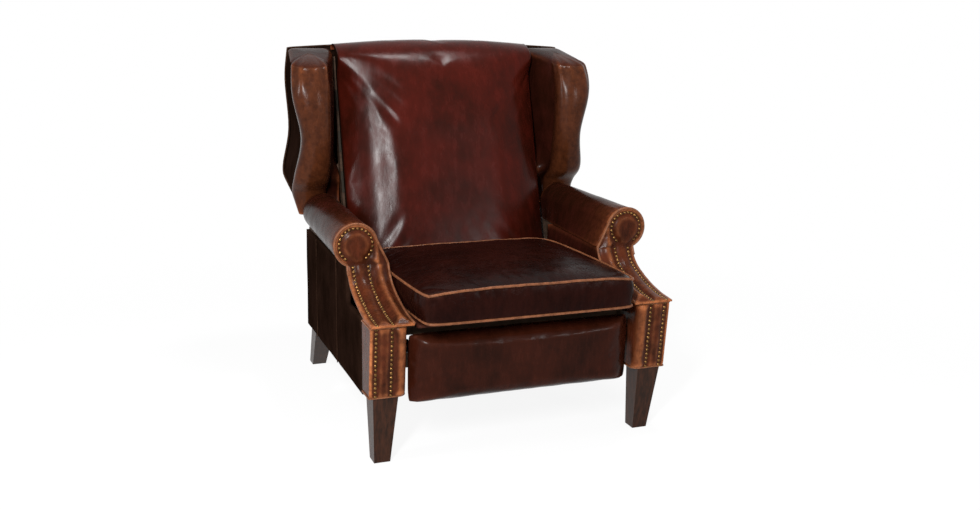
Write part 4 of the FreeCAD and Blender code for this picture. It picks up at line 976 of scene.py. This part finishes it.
def arm_facings():
    """The front of each arm: a padded strip between nail rows that curls into the scroll."""
    path = sweep_path()
    neck = path.run_at(ARM_TOP)
    level = neck + ROLL_Z - ARM_TOP
    inner, outer = 0.302, 0.410
    scroll = arc((ROLL_X, level), SCROLL_RADIUS + 0.001, -62, 168, 46)
    ring = np.vstack([[(inner, 0.0)], [(outer, 0.0)], [(outer, neck + 0.001)], scroll, [(inner, neck)]])
    ring = dense(ring, 0.0045)
    nail_ring = arc((ROLL_X, level), NAIL_RING, -52, 232, 60)
    seams = [
        np.array([(OUTER_ROW, 0.0), (OUTER_ROW, neck), nail_ring[0]]),
        np.array([(INNER_ROW, 0.0), (INNER_ROW, neck), nail_ring[-1]]),
        nail_ring,
    ]
    flat, faces, edge = sewn_panel(ring, seams, 0.0045)
    from_edge = rim_distance(flat, ring)
    from_seam = np.min([distance_to(flat, seam) for seam in seams], axis=0)
    centre = flat - np.array([ROLL_X, level])
    radius = np.linalg.norm(centre, axis=1)
    inside_ring = (radius < NAIL_RING) & (flat[:, 1] > neck - 0.01)
    on_inner = (flat[:, 0] < INNER_ROW) & ~inside_ring
    on_strip = (flat[:, 0] >= INNER_ROW) & (flat[:, 0] <= OUTER_ROW) & (flat[:, 1] < level)
    full = np.where(on_inner, 0.015, 0.004)
    full = np.where(on_strip, 0.006, full)
    full = np.where(inside_ring, 0.008, full)
    above = flat[:, 1] > level
    full = np.where(above & ~inside_ring, 0.006, full)
    soft = np.where(on_inner, 0.017, 0.009)
    height = full * swell(np.minimum(from_edge, from_seam), soft)
    height += 0.0006 * waves(np.column_stack([flat, flat[:, 0] * 0]), 60.0, 6) * ease(from_seam, 0.002, 0.01)
    top = path.place(flat, height)
    foot = path.place(flat, np.full(len(flat), -0.010))
    points, faces = walled(faces, edge, top, foot)
    points[:, 2] = np.maximum(points[:, 2], 0.3745)
    rim = path.place(ring, np.full(len(ring), 0.0))
    start = next(k for k, p in enumerate(ring) if p[0] >= outer - 1e-6 and p[1] > neck - 0.03)
    welt_line = resampled(rim[start:], 150)
    for name, side in SIDES.items():
        facing = piece(f"{name}_arm_facing_leather", mirrored(points, side), faces, TAN_HIDE)
        dress(facing, "base", [f"{name}_arm_facing"])
        welt = tube(f"{name}_arm_facing_welt", mirrored(welt_line, side), 0.0034, WELT_HIDE, wear=0.35)
        dress(welt, "base")


def arm_rolls():
    """The rolled top of each arm and the flank that falls to the seat."""
    front, length, arm_height = -0.190, 0.435, 0.584
    rows, steps = 64, 60
    points = []
    for share in np.linspace(0, 1, rows):
        y = front + share * length
        x = ROLL_X + (0.374 - ROLL_X) * share
        radius = 0.057 - 0.0024 * share
        foot_x = 0.300 + 0.018 * share
        middle_z = arm_height - radius
        drop = math.degrees(math.asin((ARM_TOP + 0.001 - middle_z) / radius))
        over = arc((x, middle_z), radius, drop, 168, steps)
        flank = np.linspace(over[-1], (foot_x, ARM_TOP + 0.001), 18)[1:]
        ring = np.vstack([over, flank])
        ring = resampled(ring, steps + 17)
        points.append(np.column_stack([ring[:, 0], np.full(len(ring), y), ring[:, 1]]))
    columns = points[0].shape[0]
    points = np.vstack(points)
    faces = rows_of_faces(rows, columns, around=True) + end_faces(rows, columns)
    along = (points[:, 1] - front) / length
    ends = ease(along, 0, 0.04)
    gathers = np.cos(np.arctan2(points[:, 2] - ROLL_Z, points[:, 0] - ROLL_X) * 22) * np.exp(-along * 16)
    outward = unit((points - (ROLL_X, 0, ROLL_Z)) * (1, 0, 1))
    amount = 0.0012 * waves(points, 14.0, 7) * ends + 0.0008 * gathers * ends - 0.002 * (1 - ends)
    points += outward * amount[:, None]
    # More of the wear mark towards the arm's front: rubbed, lighter leather and a painted highlight.
    wear = 0.55 * np.exp(-along * 7)
    for name, side in SIDES.items():
        roll = piece(f"{name}_arm_roll_leather", mirrored(points, side), faces, ARM_HIDE, wear=wear)
        dress(roll, "base", [f"{name}_arm_roll"])


def inner_arm_pads():
    """The pad inside each arm, its front edge following the facing's sweep."""
    front = smooth_line(ARM_PAD_FRONT, 6)
    ring = np.vstack([front, [(0.140, 0.474), (0.140, 0.389)]])
    flat, faces, edge = sewn_panel(ring, [], 0.008)
    ring = dense(ring, 0.008)
    gap = rim_distance(flat, ring)
    puff = 0.007 * swell(gap, 0.02) - 0.001

    def placed(height):
        return np.column_stack([0.300 - height, flat[:, 0], flat[:, 1]])

    top = placed(puff)
    foot = placed(np.full(len(flat), -0.018))
    points, faces = walled(faces, edge, top, foot)
    for name, side in SIDES.items():
        pad = piece(f"{name}_inner_arm_leather", mirrored(points, side), faces, ARM_HIDE)
        dress(pad, "base", [f"{name}_inner_arm_pad"])


def post_covers():
    """Padded leather round each front post, sewn down along its two rows of nails."""
    corner, near, lean_out = 0.020, 0.004, 0.016
    inner_side, outer_side, front, rear = 0.316, 0.410, -0.404, -0.342
    across = np.vstack([
        np.linspace((inner_side, rear), (inner_side, front + corner), 8)[:-1],
        arc((inner_side + corner, front + corner), corner, 180, 270, 12)[:-1],
        np.linspace((inner_side + corner, front), (outer_side - near, front), 34)[:-1],
        arc((outer_side - near, front + near), near, 270, 360, 5)[:-1],
        np.linspace((outer_side, front + near), (outer_side, rear), 8),
    ])
    columns = len(across)
    tangent = unit(np.gradient(across, axis=0))
    outward = np.column_stack([tangent[:, 1], -tangent[:, 0]])
    x = across[:, 0]
    at_front = across[:, 1] < front + corner + 1e-6
    rows_x = np.array([OUTER_ROW, INNER_ROW])
    gap = np.min(np.abs(x[:, None] - rows_x[None, :]), axis=1)
    on_roll = x < INNER_ROW
    full = np.where(on_roll, 0.010, np.where(x < OUTER_ROW, 0.005, 0.002))
    width = np.where(on_roll, 0.014, 0.009)
    puff = np.where(at_front, full * swell(gap, width), 0.0) * outward[:, 1] ** 2
    foot, top = 0.1855, 0.3735
    rows = 46
    points = []
    for share in np.linspace(0, 1, rows):
        z = foot + share * (top - foot)
        lean = -lean_out * share * ease(-across[:, 1], -rear, -front)
        ends = ease(min(share, 1 - share), -0.01, 0.06)
        bump = puff * ends - 0.001 * (1 - ends)
        place = across + outward * bump[:, None]
        points.append(np.column_stack([place[:, 0], place[:, 1] + lean, np.full(columns, z)]))
    points = np.vstack(points)
    faces = rows_of_faces(rows, columns) + end_faces(rows, columns)
    points[:, 1] += 0.0006 * waves(points, 50.0, 8)
    for name, side in SIDES.items():
        post = piece(f"{name}_post_leather", mirrored(points, side), faces, TAN_HIDE)
        dress(post, "base", [f"{name}_post_cover"])
        for word, share in (("top", 0.985), ("foot", 0.012)):
            z = foot + share * (top - foot)
            y = across[:, 1] - lean_out * share * at_front
            line = np.column_stack([across[:, 0], y, np.full(columns, z)])
            line[:, :2] += outward * 0.0005
            line = mirrored(resampled(line, 90), side)
            welt = tube(f"{name}_post_{word}_welt", line, 0.0022, WELT_HIDE, wear=0.4)
            dress(welt, "base")


def outside_covers():
    """The leather over each outside, in three sewn panels."""
    ring = np.array([(-0.340, 0.177), (0.302, 0.177), (0.302, 0.468), (-0.190, 0.468), (-0.190, 0.374),
                     (-0.340, 0.374)])
    seams = [np.array([(y, 0.177), (y, 0.468)]) for y in (-0.080, 0.160)]
    flat, faces, edge = sewn_panel(ring, seams, 0.012)
    ring = dense(ring, 0.012)
    from_edge = rim_distance(flat, ring)
    from_seam = np.min([distance_to(flat, seam) for seam in seams], axis=0)
    puff = 0.0045 * swell(from_edge, 0.035) + 0.0015 * swell(from_seam, 0.010)

    def placed(height):
        return np.column_stack([0.4085 + height, flat[:, 0], flat[:, 1]])

    points, faces = walled(faces, edge, placed(puff - 0.001), placed(np.full(len(flat), -0.0085)))
    points[:len(flat), 0] += 0.0010 * waves(points[:len(flat)], 9.0, 9)
    for name, side in SIDES.items():
        cover = piece(f"{name}_outside_leather", mirrored(points, side), faces, SIDE_HIDE_AND_PAD_SHADE)
        dress(cover, "base", [f"{name}_outside_cover"])
        for number, seam in enumerate(seams, start=1):
            line = resampled(seam, 60)
            line = np.column_stack([np.full(60, 0.4112), line[:, 0], line[:, 1]])
            stitch = tube(f"{name}_outside_seam_{number}", mirrored(line, side), 0.0011, SIDE_HIDE_AND_PAD_SHADE, wear=0.5)
            dress(stitch, "base")


# The footrest


def footrest_pad():
    """A padded panel, full at its middle, with drawn-in corners, a little wider at its rear face."""
    end_share, edge_share, rear_flange = 0.15, 0.26, 0.006
    low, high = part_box("footrest_pad")
    across, thick, up = 96, 8, 34
    grid, faces, numbers = box_grid(across, thick, up)
    u, v, w = grid.T
    middle_z = (low.z + high.z) / 2
    depth = high.y - low.y
    x = u * (high.x + 0.002 + rear_flange * (1 + v)) * (1 - 0.012 * np.abs(w) ** 6)
    z = middle_z + w * (high.z - low.z) / 2 * (1 - 0.035 * np.abs(u) ** 14)
    fall = 1 - (1 - np.clip(1 - np.abs(u), 0, end_share) / end_share) ** 2.2
    rise = 1 - (1 - np.clip(1 - np.abs(w), 0, edge_share) / edge_share) ** 2.4
    front = high.y - depth * (0.30 + 0.62 * np.minimum(fall, rise) + 0.08 * fall * rise)
    y = high.y + (front - high.y) * (1 - v) / 2
    points = np.column_stack([x, y, z])
    back = [n for (i, j, k), n in numbers.items() if j == thick]
    points = relaxed(points, faces, 5, 0.5, back)
    points = puffed(points, faces, back, 2.0, 0.0035, slack=0.003)
    points[:, 1] = np.minimum(points[:, 1] + 0.0010 * waves(points, 14.0, 10), high.y)
    pad = piece("footrest_leather", points, faces, REST_HIDE, subdivide=True)
    dress(pad, "footrest", ["footrest_pad"])


# The room


def camera():
    """The photograph's viewpoint."""
    yaw, pitch, roll = (math.radians(a) for a in (-21.4274, 13.4289, 1.1006))
    ahead = Vector((math.sin(-yaw) * math.cos(pitch), math.cos(yaw) * math.cos(pitch), -math.sin(pitch)))
    right = ahead.cross(Vector((0, 0, 1))).normalized()
    up = right.cross(ahead)
    turned_right = right * math.cos(roll) + up * math.sin(roll)
    turned_up = up * math.cos(roll) - right * math.sin(roll)
    lens = bpy.data.cameras.new("camera")
    lens.lens = 40.76
    lens.sensor_width = 36
    eye = bpy.data.objects.new("camera", lens)
    bpy.context.scene.collection.objects.link(eye)
    turn = Matrix((turned_right, turned_up, -ahead)).transposed().to_4x4()
    eye.matrix_world = Matrix.Translation((-1.0749, -2.8891, 1.1669)) @ turn
    bpy.context.scene.camera = eye


def lamp(name, place, aim, wide, tall, power):
    """A rectangular softbox that faces a point."""
    light = bpy.data.lights.new(name, "AREA")
    light.shape = "RECTANGLE"
    light.size = wide
    light.size_y = tall
    light.energy = power
    holder = bpy.data.objects.new(name, light)
    bpy.context.scene.collection.objects.link(holder)
    holder.location = place
    holder.rotation_euler = (Vector(aim) - Vector(place)).to_track_quat("-Z", "Y").to_euler()


def lamps():
    """A softbox in front on the left for the back's highlight, one above, one beside and a fill."""
    lamp("left softbox", (-1.55, -2.6, 1.95), (0.0, 0.1, 0.6), 0.2, 0.8, 140)
    lamp("overhead softbox", (0.3, -0.4, 2.9), (0.0, 0.1, 0.5), 0.7, 0.2, 45)
    lamp("side softbox", (-2.6, -0.7, 1.5), (0.0, 0.1, 0.5), 0.2, 0.9, 28)
    lamp("front fill", (1.7, -3.4, 1.5), (0.0, 0.0, 0.5), 0.3, 0.6, 20)


def seen_directly(tree):
    """1 where the camera, a reflection or a see-through surface looks, and 0 for the light that falls."""
    path = node(tree, "LightPath").outputs
    direct = maths(tree, "MAXIMUM", path["Is Camera Ray"], path["Is Glossy Ray"])
    return maths(tree, "MAXIMUM", direct, path["Is Transmission Ray"])


def room():
    """A white surround and a pale floor that keeps a faint shadow."""
    world = bpy.data.worlds.new("surround")
    bpy.context.scene.world = world
    world.use_nodes = True
    tree = world.node_tree
    backdrop = next(n for n in tree.nodes if n.type == "BACKGROUND")
    strength = spread(tree, seen_directly(tree), 0.0, 1.0, 0.3, 1.0)
    tree.links.new(strength, backdrop.inputs["Strength"])
    backdrop.inputs["Color"].default_value = (1, 1, 1, 1)
    made, tree, shader = surface("pale floor")
    shader.inputs["Base Color"].default_value = (0.9, 0.9, 0.9, 1)
    shader.inputs["Roughness"].default_value = 0.9
    glow = node(tree, "Emission", {"Color": (1, 1, 1, 1), "Strength": 1.0})
    blend = tree.nodes.new("ShaderNodeMixShader")
    place = node(tree, "TexCoord").outputs["Object"]
    away = node(tree, "VectorMath", {0: place}, operation="LENGTH").outputs["Value"]
    glowing = maths(tree, "MULTIPLY", seen_directly(tree), spread(tree, away, 0.5, 2.2, 0.9, 1.0))
    tree.links.new(glowing, blend.inputs[0])
    tree.links.new(shader.outputs[0], blend.inputs[1])
    tree.links.new(glow.outputs[0], blend.inputs[2])
    output = next(n for n in tree.nodes if n.type == "OUTPUT_MATERIAL")
    tree.links.new(blend.outputs[0], output.inputs["Surface"])
    reach = 30
    mesh = bpy.data.meshes.new("floor")
    mesh.from_pydata([(-reach, -reach, 0), (reach, -reach, 0), (reach, reach, 0), (-reach, reach, 0)], [],
                     [(0, 1, 2, 3)])
    mesh.materials.append(made)
    floor = bpy.data.objects.new("floor", mesh)
    bpy.context.scene.collection.objects.link(floor)


camera()
lamps()
room()
finish_cad_nodes()
seat_cushion()
seat_deck()
back_pad()
wing_pads()
outer_back()
arm_facings()
arm_rolls()
inner_arm_pads()
post_covers()
outside_covers()
footrest_pad()

bpy.context.scene.view_settings.view_transform = "Standard"
